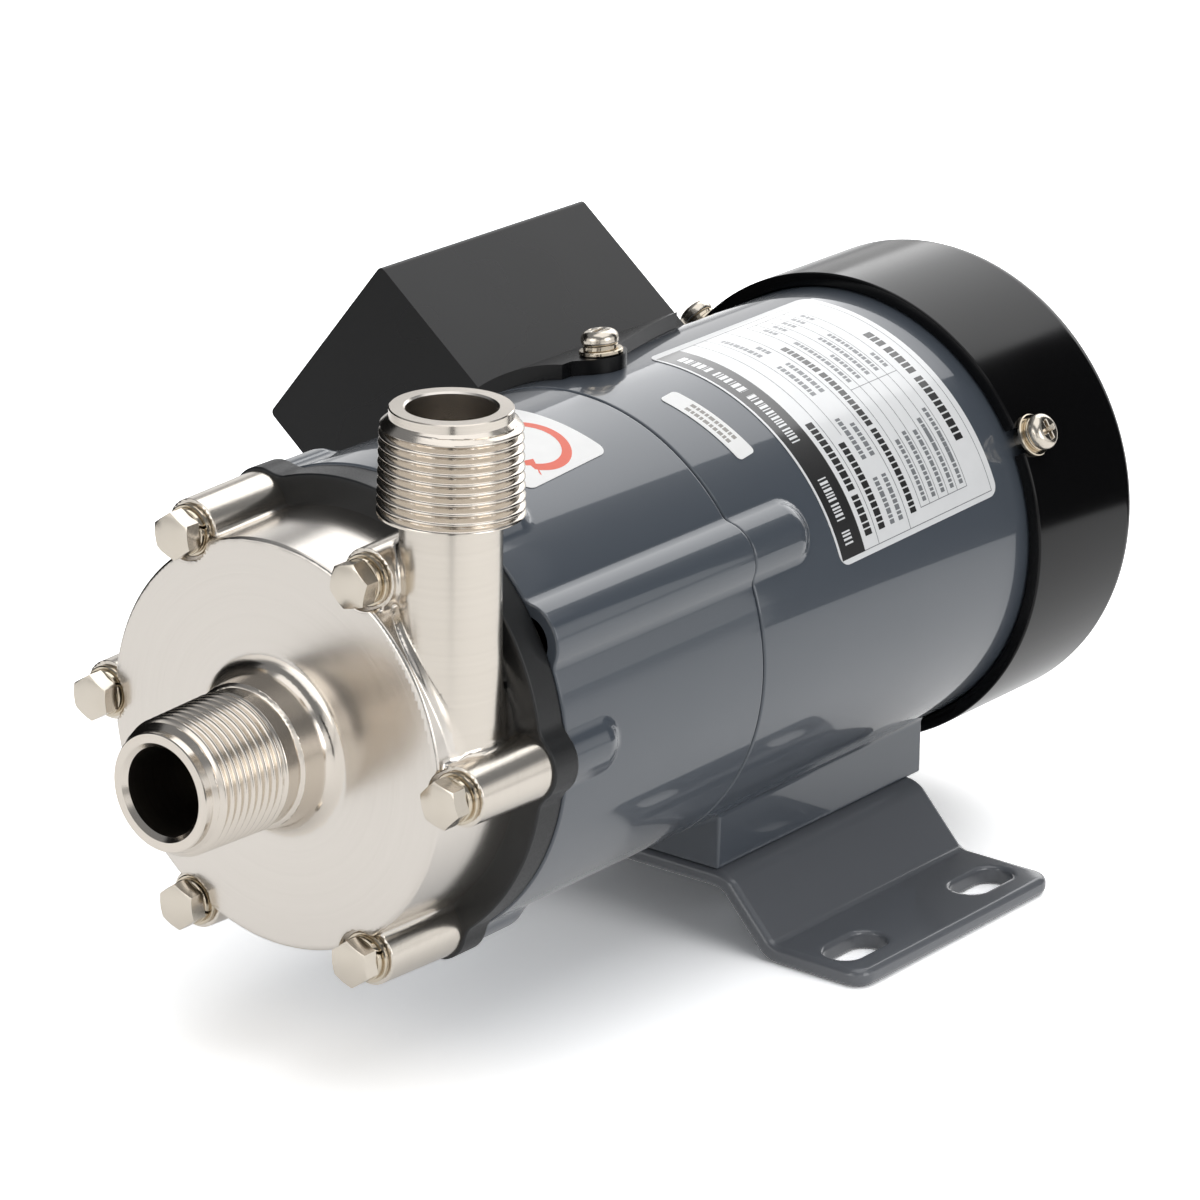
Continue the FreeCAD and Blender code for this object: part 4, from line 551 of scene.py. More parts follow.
def nipple_profile(bore, chamfer, spigot_end, end_radius):
    """Rows of (radius, place, threaded) round a nipple's wall, from its mouth back along the outside."""
    rows = [(bore, chamfer, 0), (bore + chamfer, 0.0, 0), (NOSE_RADIUS - 0.2, 0.0, 0), (NOSE_RADIUS, 0.2, 0),
            (NOSE_RADIUS, NOSE_LENGTH, 0)]
    y = NOSE_LENGTH
    while y < THREAD_END:
        y += PITCH / ROWS_IN_A_TURN
        rows.append((CREST_RADIUS + (y - CREST_PLACE) * THREAD_TAPER, y, 1))
    for radius, place in end_radius:
        rows.append((radius, place, 0))
    rows.append((bore, spigot_end, 0))
    return rows


def nipple(name, rows):
    """A threaded nipple's closed mesh along +Y, mouth first."""
    vertices, faces = [], []
    for radius, y, threaded in rows:
        for i in range(AROUND):
            angle = math.tau * i / AROUND
            r = radius
            if threaded:
                fade = min(1.0, max(0.0, (THREAD_END + 0.2 - y) / RUN_OUT))
                r = min(thread_radius(angle, y, radius, fade), NOSE_RADIUS + (y - NOSE_LENGTH) * NOSE_SLOPE)
            vertices.append((r * math.cos(angle) * MM, y * MM, r * math.sin(angle) * MM))
    for row in range(len(rows)):
        ahead = (row + 1) % len(rows)
        for i in range(AROUND):
            j = (i + 1) % AROUND
            faces.append((row * AROUND + i, ahead * AROUND + i, ahead * AROUND + j, row * AROUND + j))
    mesh = bpy.data.meshes.new(name)
    mesh.from_pydata(vertices, [], faces)
    building = bmesh.new()
    building.from_mesh(mesh)
    bmesh.ops.recalc_face_normals(building, faces=building.faces)
    building.to_mesh(mesh)
    building.free()
    mesh.shade_smooth()
    mesh.set_sharp_from_angle(angle=math.radians(38))
    return linked(bpy.data.objects.new(name, mesh))


def finish_bore(piece, u, v, axis):
    """Gives a nipple's bore, round an axis through (u, v), the second finish."""
    across = np.delete(places_of(piece.data.polygons, "center"), axis, axis=0)
    bored = np.hypot(across[0] - u, across[1] - v) < SUCTION_BORE + 0.1
    piece.data.polygons.foreach_set("material_index", bored.astype(int))


# The suction bore as the drill left it: dull, with coarse rings; its dark colour is painted shade of the deep
# bore
bore_steel_with_painted_shade = steel_finish("drilled_stainless_bore", "6E6860", "58524B", (0.38, 0.50), 0.5, 0.003, 0.2)

suction_root = [(SUCTION_ROOT, SUCTION_ROOT_PLACE), (SUCTION_ROOT, NIPPLE_REAR),
                (SPIGOT_RADIUS, NIPPLE_REAR), (SPIGOT_RADIUS, SPIGOT_END)]
suction = nipple("suction_nipple", nipple_profile(SUCTION_BORE, SUCTION_CHAMFER, SPIGOT_END, suction_root))
lathe_marks(suction, *corner_places(suction))
# The suction bore's faces get the dark steel that carries the painted shade
fit(suction, "housing", "stainless", [polished_steel, bore_steel_with_painted_shade], "suction_port")
finish_bore(suction, 0, 0, 1)
discharge = nipple("discharge_nipple", nipple_profile(DISCHARGE_BORE, DISCHARGE_CHAMFER, DISCHARGE_END,
                                                      [(DISCHARGE_ROOT, DISCHARGE_END)]))
discharge.data.transform(Matrix(((1, 0, 0, NECK_X * MM), (0, 0, 1, NECK_Y * MM),
                                 (0, -1, 0, DISCHARGE_TOP * MM), (0, 0, 0, 1))))
discharge.data.update()
px, py, pz = corner_places(discharge)
round_neck = np.stack([-(py - NECK_Y), px - NECK_X, np.zeros_like(px)], axis=1)
direction_attribute(discharge, "tool_way", round_neck / CREST_RADIUS)
number_attribute(discharge, "across_marks", pz)
fit(discharge, "housing", "stainless", [polished_steel, turned_steel], "discharge_port")
finish_bore(discharge, NECK_X, NECK_Y, 2)


# ---- Casing bolts
# Six stainless hexagon bolts, each with a split lock washer and a flat washer, hold the casings to the
# bracket. Their heads are cold formed, with a chamfered crown, and each stopped at its own angle.
HEAD_REAR = 30.6
LOCK_REAR = 31.9
CROWN_SHARE, CROWN_SLOPE = 0.97, 0.45
SPLIT_SLANT = 0.12
BOLT_FLATS, HEAD_HEIGHT, SHANK_RADIUS, SHANK_LENGTH = 8.0, 3.5, 2.5, 40.0


def corner_at(building, radius, angle, height):
    """A new corner at that place round +Z."""
    return building.verts.new((radius * math.cos(angle) * MM, radius * math.sin(angle) * MM, height * MM))


def ring_at(building, radius, height, around):
    """A ring of new corners round +Z."""
    return [corner_at(building, radius, math.tau * i / around, height) for i in range(around)]


def bridged(building, rings):
    """Faces from each ring of corners to the next."""
    for a, b in zip(rings, rings[1:]):
        for i in range(len(a)):
            j = (i + 1) % len(a)
            building.faces.new((a[i], a[j], b[j], b[i]))


def revolved(name, rows, around=48):
    """A closed ring turned about +Z from rows of (radius, height)."""
    building = bmesh.new()
    rings = [ring_at(building, radius, height, around) for radius, height in rows]
    bridged(building, rings + rings[:1])
    return closed_piece(name, building)


def closed_piece(name, building, sharp_angle=32):
    """Turns a closed bmesh into an object with outward faces and sharp edges where faces turn."""
    bmesh.ops.recalc_face_normals(building, faces=building.faces)
    mesh = bpy.data.meshes.new(name)
    building.to_mesh(mesh)
    building.free()
    mesh.shade_smooth()
    mesh.set_sharp_from_angle(angle=math.radians(sharp_angle))
    return linked(bpy.data.objects.new(name, mesh))


def hexagon_bolt(name, flats, height, shank, length):
    """A bolt with its seat at height 0, its chamfered head above and its shank below."""
    building = bmesh.new()
    steps = 72
    rings = []
    crown = flats / 2 * CROWN_SHARE
    for level in ("seat", "side", "crown"):
        ring = []
        for i in range(steps):
            angle = math.tau * i / steps
            from_flat = (angle + math.pi / 6) % (math.pi / 3) - math.pi / 6
            reach = flats / 2 / math.cos(from_flat)
            lift = {"seat": 0.0, "side": height - (reach - crown) * CROWN_SLOPE, "crown": height}[level]
            ring.append(corner_at(building, crown if level == "crown" else reach, angle, lift))
        rings.append(ring)
    low = [ring_at(building, shank, h, steps) for h in (0.0, -length)]
    bridged(building, [low[1], low[0], *rings])
    building.faces.new(rings[2])
    building.faces.new(low[1])
    return closed_piece(name, building)


def split_washer(name, bore, radius, thickness):
    """A split lock washer lying on height 0: a spring ring cut through on the slant."""
    building = bmesh.new()
    steps, gap = 56, math.radians(7)
    sections = []
    for i in range(steps + 1):
        angle = gap / 2 + (math.tau - gap) * i / steps
        ring = []
        for r, h in ((bore, 0.0), (radius, 0.0), (radius, thickness), (bore, thickness)):
            ring.append(corner_at(building, r, angle + (h / thickness - 0.5) * SPLIT_SLANT, h))
        sections.append(ring)
    bridged(building, sections)
    building.faces.new(sections[0])
    building.faces.new(sections[-1])
    washer = closed_piece(name, building)
    rounded = washer.modifiers.new("edges", "BEVEL")
    rounded.width, rounded.segments, rounded.limit_method = thickness * 0.16 * MM, 2, "ANGLE"
    return applied(washer)


def applied(piece):
    """Replaces a piece's mesh by what its modifiers make of it, and removes them."""
    bpy.context.view_layer.update()
    evaluated = piece.evaluated_get(bpy.context.evaluated_depsgraph_get())
    mesh = bpy.data.meshes.new_from_object(evaluated)
    piece.modifiers.clear()
    old = piece.data
    piece.data = mesh
    mesh.name = piece.name
    bpy.data.meshes.remove(old)
    return piece


def socket_of(group, name):
    """The identifier of a node group's named input."""
    return next(item.identifier for item in group.interface.items_tree if item.name == name)


def placing_group():
    """Geometry Nodes that set a copy of a fastener at each point, turned outwards and spun at random."""
    group = bpy.data.node_groups.new("fasteners_at_points", "GeometryNodeTree")
    for name, kind in (("Points", "NodeSocketGeometry"), ("Fastener", "NodeSocketObject"),
                       ("Finish", "NodeSocketMaterial"), ("Spin", "NodeSocketFloat"),
                       ("Seed", "NodeSocketInt")):
        group.interface.new_socket(name, in_out="INPUT", socket_type=kind)
    group.interface.new_socket("Fasteners", in_out="OUTPUT", socket_type="NodeSocketGeometry")
    given = add(group, "NodeGroupInput").outputs
    outward = add(group, "GeometryNodeInputNamedAttribute", {"Name": "outward"}, data_type="FLOAT_VECTOR")
    fastener = add(group, "GeometryNodeObjectInfo", {"Object": given["Fastener"]})
    facing = add(group, "FunctionNodeAlignRotationToVector", {"Vector": outward.outputs[0]}, axis="Z")
    spin = add(group, "FunctionNodeRandomValue", {2: 0.0, 3: given["Spin"], "Seed": given["Seed"]},
               data_type="FLOAT")
    about = add(group, "FunctionNodeAxisAngleToRotation", {"Axis": (0, 0, 1), "Angle": spin.outputs[1]})
    turned_to = add(group, "FunctionNodeRotateRotation",
                    {"Rotation": facing.outputs[0], "Rotate By": about.outputs[0]}, rotation_space="LOCAL")
    points = add(group, "GeometryNodeMeshToPoints", {"Mesh": given["Points"]})
    copies = add(group, "GeometryNodeInstanceOnPoints",
                 {"Points": points.outputs[0], "Instance": fastener.outputs["Geometry"],
                  "Rotation": turned_to.outputs[0]})
    real = add(group, "GeometryNodeRealizeInstances", {0: copies.outputs[0]})
    finished = add(group, "GeometryNodeSetMaterial",
                   {"Geometry": real.outputs[0], "Material": given["Finish"]})
    add(group, "NodeGroupOutput", {0: finished.outputs[0]})
    return group


FASTENER_GROUP = placing_group()


def set_fasteners(name, template, places, finish, seed, spin=math.tau):
    """One piece made of copies of a template, at places given as (point in mm, outward direction)."""
    mesh = bpy.data.meshes.new(name)
    mesh.from_pydata([[c * MM for c in point] for point, _ in places], [], [])
    piece = linked(bpy.data.objects.new(name, mesh))
    direction_attribute(piece, "outward", [way for _, way in places])
    modifier = piece.modifiers.new("fasteners", "NODES")
    modifier.node_group = FASTENER_GROUP
    for socket, value in (("Fastener", template), ("Finish", finish), ("Spin", spin), ("Seed", seed)):
        modifier[socket_of(FASTENER_GROUP, socket)] = value
    applied(piece)
    left_over = template.data
    bpy.data.objects.remove(template)
    bpy.data.meshes.remove(left_over)
    return piece


def small_metal(name, pale, dark, rough, grain_mm=0.6, relief_mm=0.004, metallic=1.0, **more):
    """A plated, ground or cast surface with a fine even grain."""
    made, tree = blank_material(name)
    place = add(tree, "ShaderNodeTexCoord").outputs["Object"]
    grain = clouds(tree, place, grain_mm, 4.0)
    cloud = clouds(tree, place, grain_mm * 12, 2.0)
    finish_tree(tree, (cloud, grain, grain), (pale, dark), rough, relief_mm, {"Metallic": metallic, **more})
    return made


def casing_places(y):
    """The six places on the bolt circle at one distance along the shaft."""
    angles = [math.tau * i / BOLT_COUNT for i in range(BOLT_COUNT)]
    return [((BOLT_CIRCLE * math.cos(a), y, BOLT_CIRCLE * math.sin(a)), (0, -1, 0)) for a in angles]


# Cold-formed stainless heads, tumbled bright: a mirror gone slightly soft, a little warmer than the casing
bright_bolt = small_metal("tumbled_stainless_bolt", "DED6CA", "D2C9BB", (0.19, 0.25), 0.5, 0.0006)
# Spring steel washers, nickel plated: warm and shiny on their rims
nickel_washer = small_metal("nickel_plated_washer", "D6CCBB", "C8BBA6", (0.12, 0.18), 0.4, 0.0006)

FLAT_ROWS = [(BOLT_HOLE, 0.0), (4.8, 0.0), (5.0, 0.2), (5.0, 0.9), (4.8, 1.1), (BOLT_HOLE, 1.1)]
bolt = hexagon_bolt("bolt", BOLT_FLATS, HEAD_HEIGHT, SHANK_RADIUS, SHANK_LENGTH)
for kind, shape, place, finish, seed in (
        ("bolt", bolt, HEAD_REAR, bright_bolt, 4),
        ("lock_washer", split_washer("lock", BOLT_HOLE, 4.4, 1.25), LOCK_REAR, nickel_washer, 7),
        ("flat_washer", revolved("flat", FLAT_ROWS), BOSS_FRONT, nickel_washer, 2)):
    made = set_fasteners(f"casing_{kind}_set", shape, casing_places(place), finish, seed)
    fit(made, "housing", "bright_fastener", [finish], f"casing_{kind}s")


# ---- Rear casing
# The wet end's rear half, moulded in one piece from glass-filled black plastic: a flange with a lug
# for each bolt, and the thin can that keeps the liquid from the drive magnets.
FLANGE_REAR, FLANGE_RADIUS, LUG_RADIUS = 59.1, 46.2, 7.0
CAN_RADIUS, CAN_BORE, CAN_REAR, CAN_FLOOR = 28.9, 27.2, 101.0, 98.8
SOCKET_RADIUS, SOCKET_BORE, SOCKET_FRONT, SOCKET_FLOOR = 7.5, 4.05, 90.0, 96.0


def rear_casing(x, y, z):
    """The flange with its lugs, and the can behind it."""
    radius, from_bolt = np.hypot(x, z), bolt_distance(x, z)
    outline = melt(radius - FLANGE_RADIUS, from_bolt - LUG_RADIUS, 1.5)
    flange = meet(outline, slab(y, FLANGE_FRONT, FLANGE_REAR), 0.5)
    can = meet(radius - CAN_RADIUS, slab(y, 55.0, CAN_REAR), 1.2)
    hollow = np.minimum(meet(radius - CAN_BORE, slab(y, 40.0, CAN_FLOOR), 1.0), from_bolt - BOLT_HOLE)
    socket = meet(radius - SOCKET_RADIUS, slab(y, SOCKET_FRONT, 100.0), 0.3)
    socket = meet(socket, -meet(radius - SOCKET_BORE, y - SOCKET_FLOOR))
    return np.minimum(meet(melt(flange, can, 1.0), -hollow), socket)


def moulded_finish(name, pale, dark, rough, grain_mm, relief_mm, **more):
    """Moulded plastic or sprayed paint with a fine grain and a faint larger waviness."""
    return small_metal(name, pale, dark, rough, grain_mm, relief_mm, metallic=0.0, **more)


# Glass-filled polypropylene, moulded in a spark-eroded tool: a deep black with a low, grainy sheen
black_moulding = moulded_finish("glass_filled_polypropylene", "17181A", "0E0F10", (0.34, 0.46), 0.35, 0.012)

casing = formed("moulded_rear_casing", rear_casing, np.linspace(0, math.tau, 361)[:-1],
                spread((0.6, 2.0), (26.0, 0.8), (29.6, 2.2), (34.0, 2.2), (38.0, 0.8), (50.4, None)),
                spread((51.6, 0.3), (53.2, 1.2), (58.0, 0.3), (59.8, 3.0), (88.0, 1.0), (101.8, None)))
fit(casing, "housing", "black_moulding", [black_moulding], "rear_casing")


# ---- Bracket
# Aluminium casting between pump and motor, sprayed with blue-grey enamel. Six short bosses take the casing
# bolts, and two full ribs carry the tie bolts, whose heads sit in deep counterbores.
SEAM, SEAM_GAP = 119.7, 0.15
BODY_RADIUS = 46.6
RIB_FIRST = 30.0
RIB_RADIUS, COUNTERBORE_RADIUS, COUNTERBORE_FLOOR = 7.4, 5.0, 68.1
LUG_BOSS_RADIUS, LUG_BOSS_END, BRACKET_FILLET = 6.2, 69.4, 0.8
FRONT_BORE, FRONT_BORE_END, REAR_BORE, REAR_BORE_END = 38.6, 76.1, 41.6, 112.7
SHAFT_HOLE, BEARING_SEAT, BEARING_FRONT = 13.0, 16.05, 114.7
CORE_RADIUS = 4.8
THREAD_HOLE, BLIND_END = 2.55, 71.1
PEEL_WIDTH, PEEL_DEPTH, ENAMEL_CLOUD_WIDTH = 2.6, 0.0015, 30.0


def rib_distance(x, z):
    """How far points are from the nearest tie bolt's axis."""
    along, across = folded(x, z, 2, RIB_FIRST)
    return np.hypot(along - BOLT_CIRCLE, across)


def bracket(x, y, z):
    """The bracket's shell with bosses, ribs and the front bearing's wall."""
    radius, from_bolt = np.hypot(x, z), bolt_distance(x, z)
    from_rib = rib_distance(x, z)
    boss = np.hypot(from_bolt, np.maximum(y - LUG_BOSS_END, 0)) - LUG_BOSS_RADIUS
    outside = melt(melt(radius - BODY_RADIUS, boss, BRACKET_FILLET), from_rib - RIB_RADIUS, BRACKET_FILLET)
    outside = meet(outside, slab(y, FLANGE_REAR, SEAM - SEAM_GAP), 0.5)
    hollow = np.minimum.reduce([
        meet(radius - FRONT_BORE, y - FRONT_BORE_END),
        meet(radius - REAR_BORE, slab(y, FRONT_BORE_END, REAR_BORE_END), 1.0),
        radius - SHAFT_HOLE, meet(radius - BEARING_SEAT, BEARING_FRONT - y)])
    keep = meet(from_rib - CORE_RADIUS, slab(y, 75.0, 114.0))
    cut = np.minimum.reduce([
        from_rib - BOLT_HOLE, meet(from_rib - COUNTERBORE_RADIUS, y - COUNTERBORE_FLOOR),
        meet(from_bolt - THREAD_HOLE, y - BLIND_END)])
    return meet(np.minimum(meet(outside, -hollow), keep), -cut)


def enamel_finish(name, pale, dark, rough, **more):
    """Sprayed enamel: an even colour, a faint orange peel and a clear gloss."""
    made, tree = blank_material(name)
    place = add(tree, "ShaderNodeTexCoord").outputs["Object"]
    peel = clouds(tree, place, PEEL_WIDTH, 1.0)
    cloud = clouds(tree, place, ENAMEL_CLOUD_WIDTH, 2.0)
    finish_tree(tree, (cloud, cloud, peel), (pale, dark), rough, PEEL_DEPTH, more)
    return made


# Stoved blue-grey enamel: a cool mid grey with long, clear highlights
blue_grey_enamel = enamel_finish("blue_grey_stoved_enamel", "4D535C", "495058", (0.30, 0.36), **{
    "Specular IOR Level": 0.3, "Coat Weight": 1.0, "Coat Roughness": 0.05})


def rib_angles(*centres):
    """Grid angles round the shaft, close together across the ribs and bosses that rise from the shell."""
    lines = set(np.round(np.arange(0, 360, 1.5), 4))
    for centre in centres:
        lines |= set(np.round(np.mod(np.arange(centre - 12, centre + 12, 0.5), 360), 4))
    return np.radians(sorted(lines))


front_shell = formed("cast_bracket", bracket, rib_angles(0, 30, 60, 120, 180, 210, 240, 300),
                     spread((12.0, 1.5), (18.0, 4.0), (36.0, 1.4), (45.0, 0.6), (50.6, None)),
                     spread((58.4, 0.25), (60.2, 1.5), (66.0, 1.0), (78.0, 3.0), (111.0, 1.2), (118.6, 0.25),
                            (120.4, None)))
fit(front_shell, "housing", "blue_grey_paint", [blue_grey_enamel], "bracket")


# ---- Motor frame
# Aluminium casting round the stator, in the same enamel. The ribs of the bracket end on it, and its
# pedestal stands on the base plate.
FRAME_REAR = 216.5
PEDESTAL = (133.6, 203.1)
PEDESTAL_HALF, PEDESTAL_BOTTOM = 26.3, -50.4
RIB_END, RIB_END_RADIUS = 134.4, 7.15
FRAME_BORE, CORE_END, TAPPED_END = 42.0, 139.3, 138.3


def motor_frame(x, y, z):
    """The motor's shell with its rib ends and pedestal."""
    radius = np.hypot(x, z)
    from_rib = rib_distance(x, z)
    rib = np.hypot(from_rib, np.maximum(y - RIB_END, 0)) - RIB_END_RADIUS
    block = meet(np.abs(x) - PEDESTAL_HALF, slab(z, PEDESTAL_BOTTOM, -20), 0.6)
    block = meet(block, slab(y, *PEDESTAL), 0.6)
    outside = melt(melt(radius - BODY_RADIUS, rib, BRACKET_FILLET), block, BRACKET_FILLET)
    outside = meet(meet(outside, slab(y, SEAM + SEAM_GAP, FRAME_REAR), 0.5), PEDESTAL_BOTTOM - z)
    keep = meet(from_rib - CORE_RADIUS, slab(y, SEAM, CORE_END))
    tapped = meet(from_rib - THREAD_HOLE, y - TAPPED_END)
    return meet(np.minimum(meet(outside, FRAME_BORE - radius), keep), -tapped)


frame_shell = formed("cast_motor_frame", motor_frame, rib_angles(30, 210, 236, 243, 297, 304),
                     spread((36.0, 1.2), (44.4, 0.7), (58.0, None)),
                     spread((119.0, 0.25), (120.8, 1.6), (132.8, 0.3), (134.4, 1.2), (142.8, 2.6),
                            (202.4, 0.3), (204.0, 2.0), (215.6, 0.25), (217.0, None)))
fit(frame_shell, "housing", "blue_grey_paint", [blue_grey_enamel], "motor_frame")


# ---- Fan cover
# Black cover over the motor's fan, moulded from glass-filled plastic in a polished tool. Radial slots in its
# end let the air in, and a notch in its rim goes over each screw.
COVER_FRONT, COVER_REAR, COVER_RADIUS, COVER_WALL = 209.0, 244.9, 49.7, 2.8
COVER_SCREWS = (28.5, 142.0, 265.0)
SCREW_Y, NOTCH_HALF = 213.3, 2.65
VENTS, VENT_START, VENT_END, VENT_HALF, VENT_FRONT = 16, 15.6, 38.4, 1.6, 237.0


def fan_cover(x, y, z):
    """The cover with its slots and notches."""
    radius = np.hypot(x, z)
    outside = meet(radius - COVER_RADIUS, y - COVER_REAR, 3.8)
    inside = meet(radius - COVER_RADIUS + COVER_WALL, y - COVER_REAR + COVER_WALL, 2.0)
    wall = meet(meet(outside, -inside, 0.5), COVER_FRONT - y, 0.5)
    along, across = folded(x, z, VENTS)
    vent = np.hypot(np.maximum(slab(along, VENT_START, VENT_END), 0), across) - VENT_HALF
    cuts = [meet(vent, VENT_FRONT - y)]
    for angle in COVER_SCREWS:
        way = math.radians(angle)
        side = z * math.cos(way) - x * math.sin(way)
        ahead = x * math.cos(way) + z * math.sin(way)
        cuts.append(meet(np.hypot(side, np.maximum(y - SCREW_Y, 0)) - NOTCH_HALF, -ahead))
    return meet(wall, -np.minimum.reduce(cuts), 0.35)


# Glass-filled nylon from a polished tool: deep black, with clear but softened reflections
glossy_moulding = enamel_finish("polished_black_nylon", "0E0E0F", "0B0B0C", (0.12, 0.16), **{
    "Specular IOR Level": 0.24})

cover = formed("moulded_fan_cover", fan_cover,
               rib_angles(*COVER_SCREWS, *(i * 360 / VENTS for i in range(VENTS))),
               spread((0.6, 1.6), (13.0, 0.9), (17.0, 2.0), (37.0, 0.9), (50.6, None)),
               spread((208.2, 0.3), (210.0, 0.7), (216.6, 3.0), (237.0, 0.7), (245.8, None)))
fit(cover, "housing", "black_moulding", [glossy_moulding], "fan_cover")

PAN_RADIUS, PAN_HEIGHT, PAN_SHANK, PAN_LENGTH = 3.75, 2.8, 2.0, 7.9
CROSS_HALF_WIDTH, CROSS_HALF_LENGTH, CROSS_FLOOR = 0.55, 2.1, 1.0


def pan_screw(x, y, z):
    """A pan-head screw with a cross recess, its seat at height 0."""
    radius = np.hypot(x, y)
    crown = meet(meet(radius - PAN_RADIUS, z - PAN_HEIGHT, 1.7), -z, 0.7)
    taper = (PAN_HEIGHT - z) * 0.5
    slots = [meet(np.abs(a) - CROSS_HALF_WIDTH + taper * 0.15, np.abs(b) - CROSS_HALF_LENGTH + taper, 0.1)
             for a, b in ((x, y), (y, x))]
    recess = meet(np.minimum(*slots), CROSS_FLOOR - z)
    shank = meet(radius - PAN_SHANK, slab(z, -PAN_LENGTH, 0.2), 0.3)
    return np.minimum(meet(crown, -recess, 0.1), shank)


def radial_places(radius, y, angles):
    """Places on a circle round the shaft, each facing away from it."""
    ways = [(math.cos(math.radians(a)), 0, math.sin(math.radians(a))) for a in angles]
    return [((radius * way[0], y, radius * way[2]), way) for way in ways]


SMALL_FLAT, SMALL_LOCK = 0.9, 1.0
SMALL_FLAT_ROWS = [(2.2, 0.0), (4.2, 0.0), (4.4, 0.2), (4.4, 0.7), (4.2, SMALL_FLAT), (2.2, SMALL_FLAT)]


def radial_screws(prefix, seat, y, angles, seed):
    """Pan-head screws with both their washers, at those angles round the shaft."""
    across = spread((-4.1, 0.24), (4.1, None))
    template = formed("screw", pan_screw, across, spread((-8.2, 0.6), (-0.4, 0.2), (3.2, None)), across,
                      polar=False)
    kinds = (("screws", template, seat + SMALL_FLAT + SMALL_LOCK, bright_bolt),
             ("lock_washers", split_washer("lock", 2.2, 3.5, 0.95), seat + SMALL_FLAT, nickel_washer),
             ("flat_washers", revolved("flat", SMALL_FLAT_ROWS), seat, nickel_washer))
    for kind, shape, radius, finish in kinds:
        made = set_fasteners(f"{prefix}_{kind}_set", shape, radial_places(radius, y, angles), finish, seed)
        fit(made, "housing", "bright_fastener", [finish], f"{prefix}_{kind}")


radial_screws("fan_cover", COVER_RADIUS, SCREW_Y, COVER_SCREWS, seed=5)


# ---- Labels
# A rating label of silvery polyester film round the motor, and two white paper stickers, all glued flat.
# Their printed words are left out: plain rules and bars stand where such a label has its lines and table.
LABEL_LIFT, LABEL_THICK = 0.06, 0.1
INK_LIFT, INK_THICK = LABEL_LIFT + 0.08, 0.035


def wrapped_sheet(name, outline_cells, lift, thick):
    """A closed thin sheet laid on the shell, from cells (arc, place) given as quads in millimetres."""
    building = bmesh.new()
    made = {}

    def corner(point, level):
        key = (round(point[0], 4), round(point[1], 4), level)
        if key not in made:
            angle = point[0] / BODY_RADIUS
            radius = BODY_RADIUS + lift + level * thick
            place = radius * math.cos(angle), point[1], radius * math.sin(angle)
            made[key] = building.verts.new([c * MM for c in place])
        return made[key]

    borders = {}
    for cell in outline_cells:
        for level in (0, 1):
            corners = list(dict.fromkeys(corner(point, level) for point in cell))
            if len(corners) > 2 and not building.faces.get(corners):
                building.faces.new(corners if level else corners[::-1])
        rounded = [(round(a, 4), round(b, 4)) for a, b in cell]
        for a, b in zip(rounded, rounded[1:] + rounded[:1]):
            if a != b:
                borders[(a, b)] = borders.get((a, b), 0) + 1
    for (a, b) in borders:
        if (b, a) not in borders:
            building.faces.new([corner(a, 0), corner(b, 0), corner(b, 1), corner(a, 1)])
    return closed_piece(name, building)


def sheet_cells(arc_low, arc_high, low, high, corner_radius=0.0):
    """Cells of a rectangle with rounded corners, narrow enough to follow the shell."""
    arcs = list(spread((arc_low, 1.6), (arc_high, None)))
    if corner_radius:
        steps = [corner_radius * (1 - math.cos(math.pi * i / 16)) for i in range(1, 9)]
        between = [a for a in arcs if arc_low + corner_radius < a < arc_high - corner_radius]
        ends = [arc_low, arc_high] + [arc_low + s for s in steps] + [arc_high - s for s in steps]
        arcs = sorted(set(between + ends))

    def inset(arc):
        depth = max(0.0, corner_radius - min(arc - arc_low, arc_high - arc))
        return corner_radius - math.sqrt(max(0.0, corner_radius ** 2 - depth ** 2))

    cells = []
    for a, b in zip(arcs, arcs[1:]):
        cells.append(((a, low + inset(a)), (a, high - inset(a)), (b, high - inset(b)), (b, low + inset(b))))
    return cells


def turned(cells, middle, slope):
    """The same cells turned a little round a sticker's middle, as a hand put it on."""
    return [tuple((a - slope * (b - middle[1]), b + slope * (a - middle[0])) for a, b in cell)
            for cell in cells]


def label(name, extent, corner_radius, finish, slope):
    """A sticker's sheet with rounded corners, from its extent (arc, arc, place, place)."""
    middle = (extent[0] + extent[1]) / 2, (extent[2] + extent[3]) / 2
    cells = turned(sheet_cells(*extent, corner_radius), middle, slope)
    sheet = wrapped_sheet(name, cells, LABEL_LIFT, LABEL_THICK)
    fit(sheet, "housing", None, [finish])
    return middle


def printing(name, rectangles, finish, middle, slope):
    """Printed bars on a sticker, from rectangles (arc, arc, place, place)."""
    cells = [cell for rectangle in rectangles for cell in sheet_cells(*rectangle)]
    ink = wrapped_sheet(name, turned(cells, middle, slope), INK_LIFT, INK_THICK)
    return fit(ink, "housing", None, [finish])


def dashes(runs, low, high, widths=(0.9, 0.6, 1.1, 0.8, 0.7, 1.2, 0.65), gap=0.28):
    """A line of short dashes in place of words, along each run (arc, arc)."""
    made = []
    for start, end in runs:
        arc, index = start, 0
        while arc + widths[index % len(widths)] <= end + 0.2:
            made.append((arc, arc + widths[index % len(widths)], low, high))
            arc += widths[index % len(widths)] + gap
            index += 1
    return made


# Silver-white polyester film under a clear laminate, which mirrors the lamps over film and ink alike
LAMINATE = {"Coat Weight": 1.0, "Coat Roughness": 0.14}
silver_film = small_metal("laminated_silver_film", "ECEDEE", "E6E7E8", (0.36, 0.42), 0.25, 0.0005, 0.05,
                          **LAMINATE)
# Coated white paper: bright and a little glossy
white_paper = small_metal("coated_white_paper", "F2F2F1", "EAEAE9", (0.34, 0.42), 0.3, 0.001, 0.0)
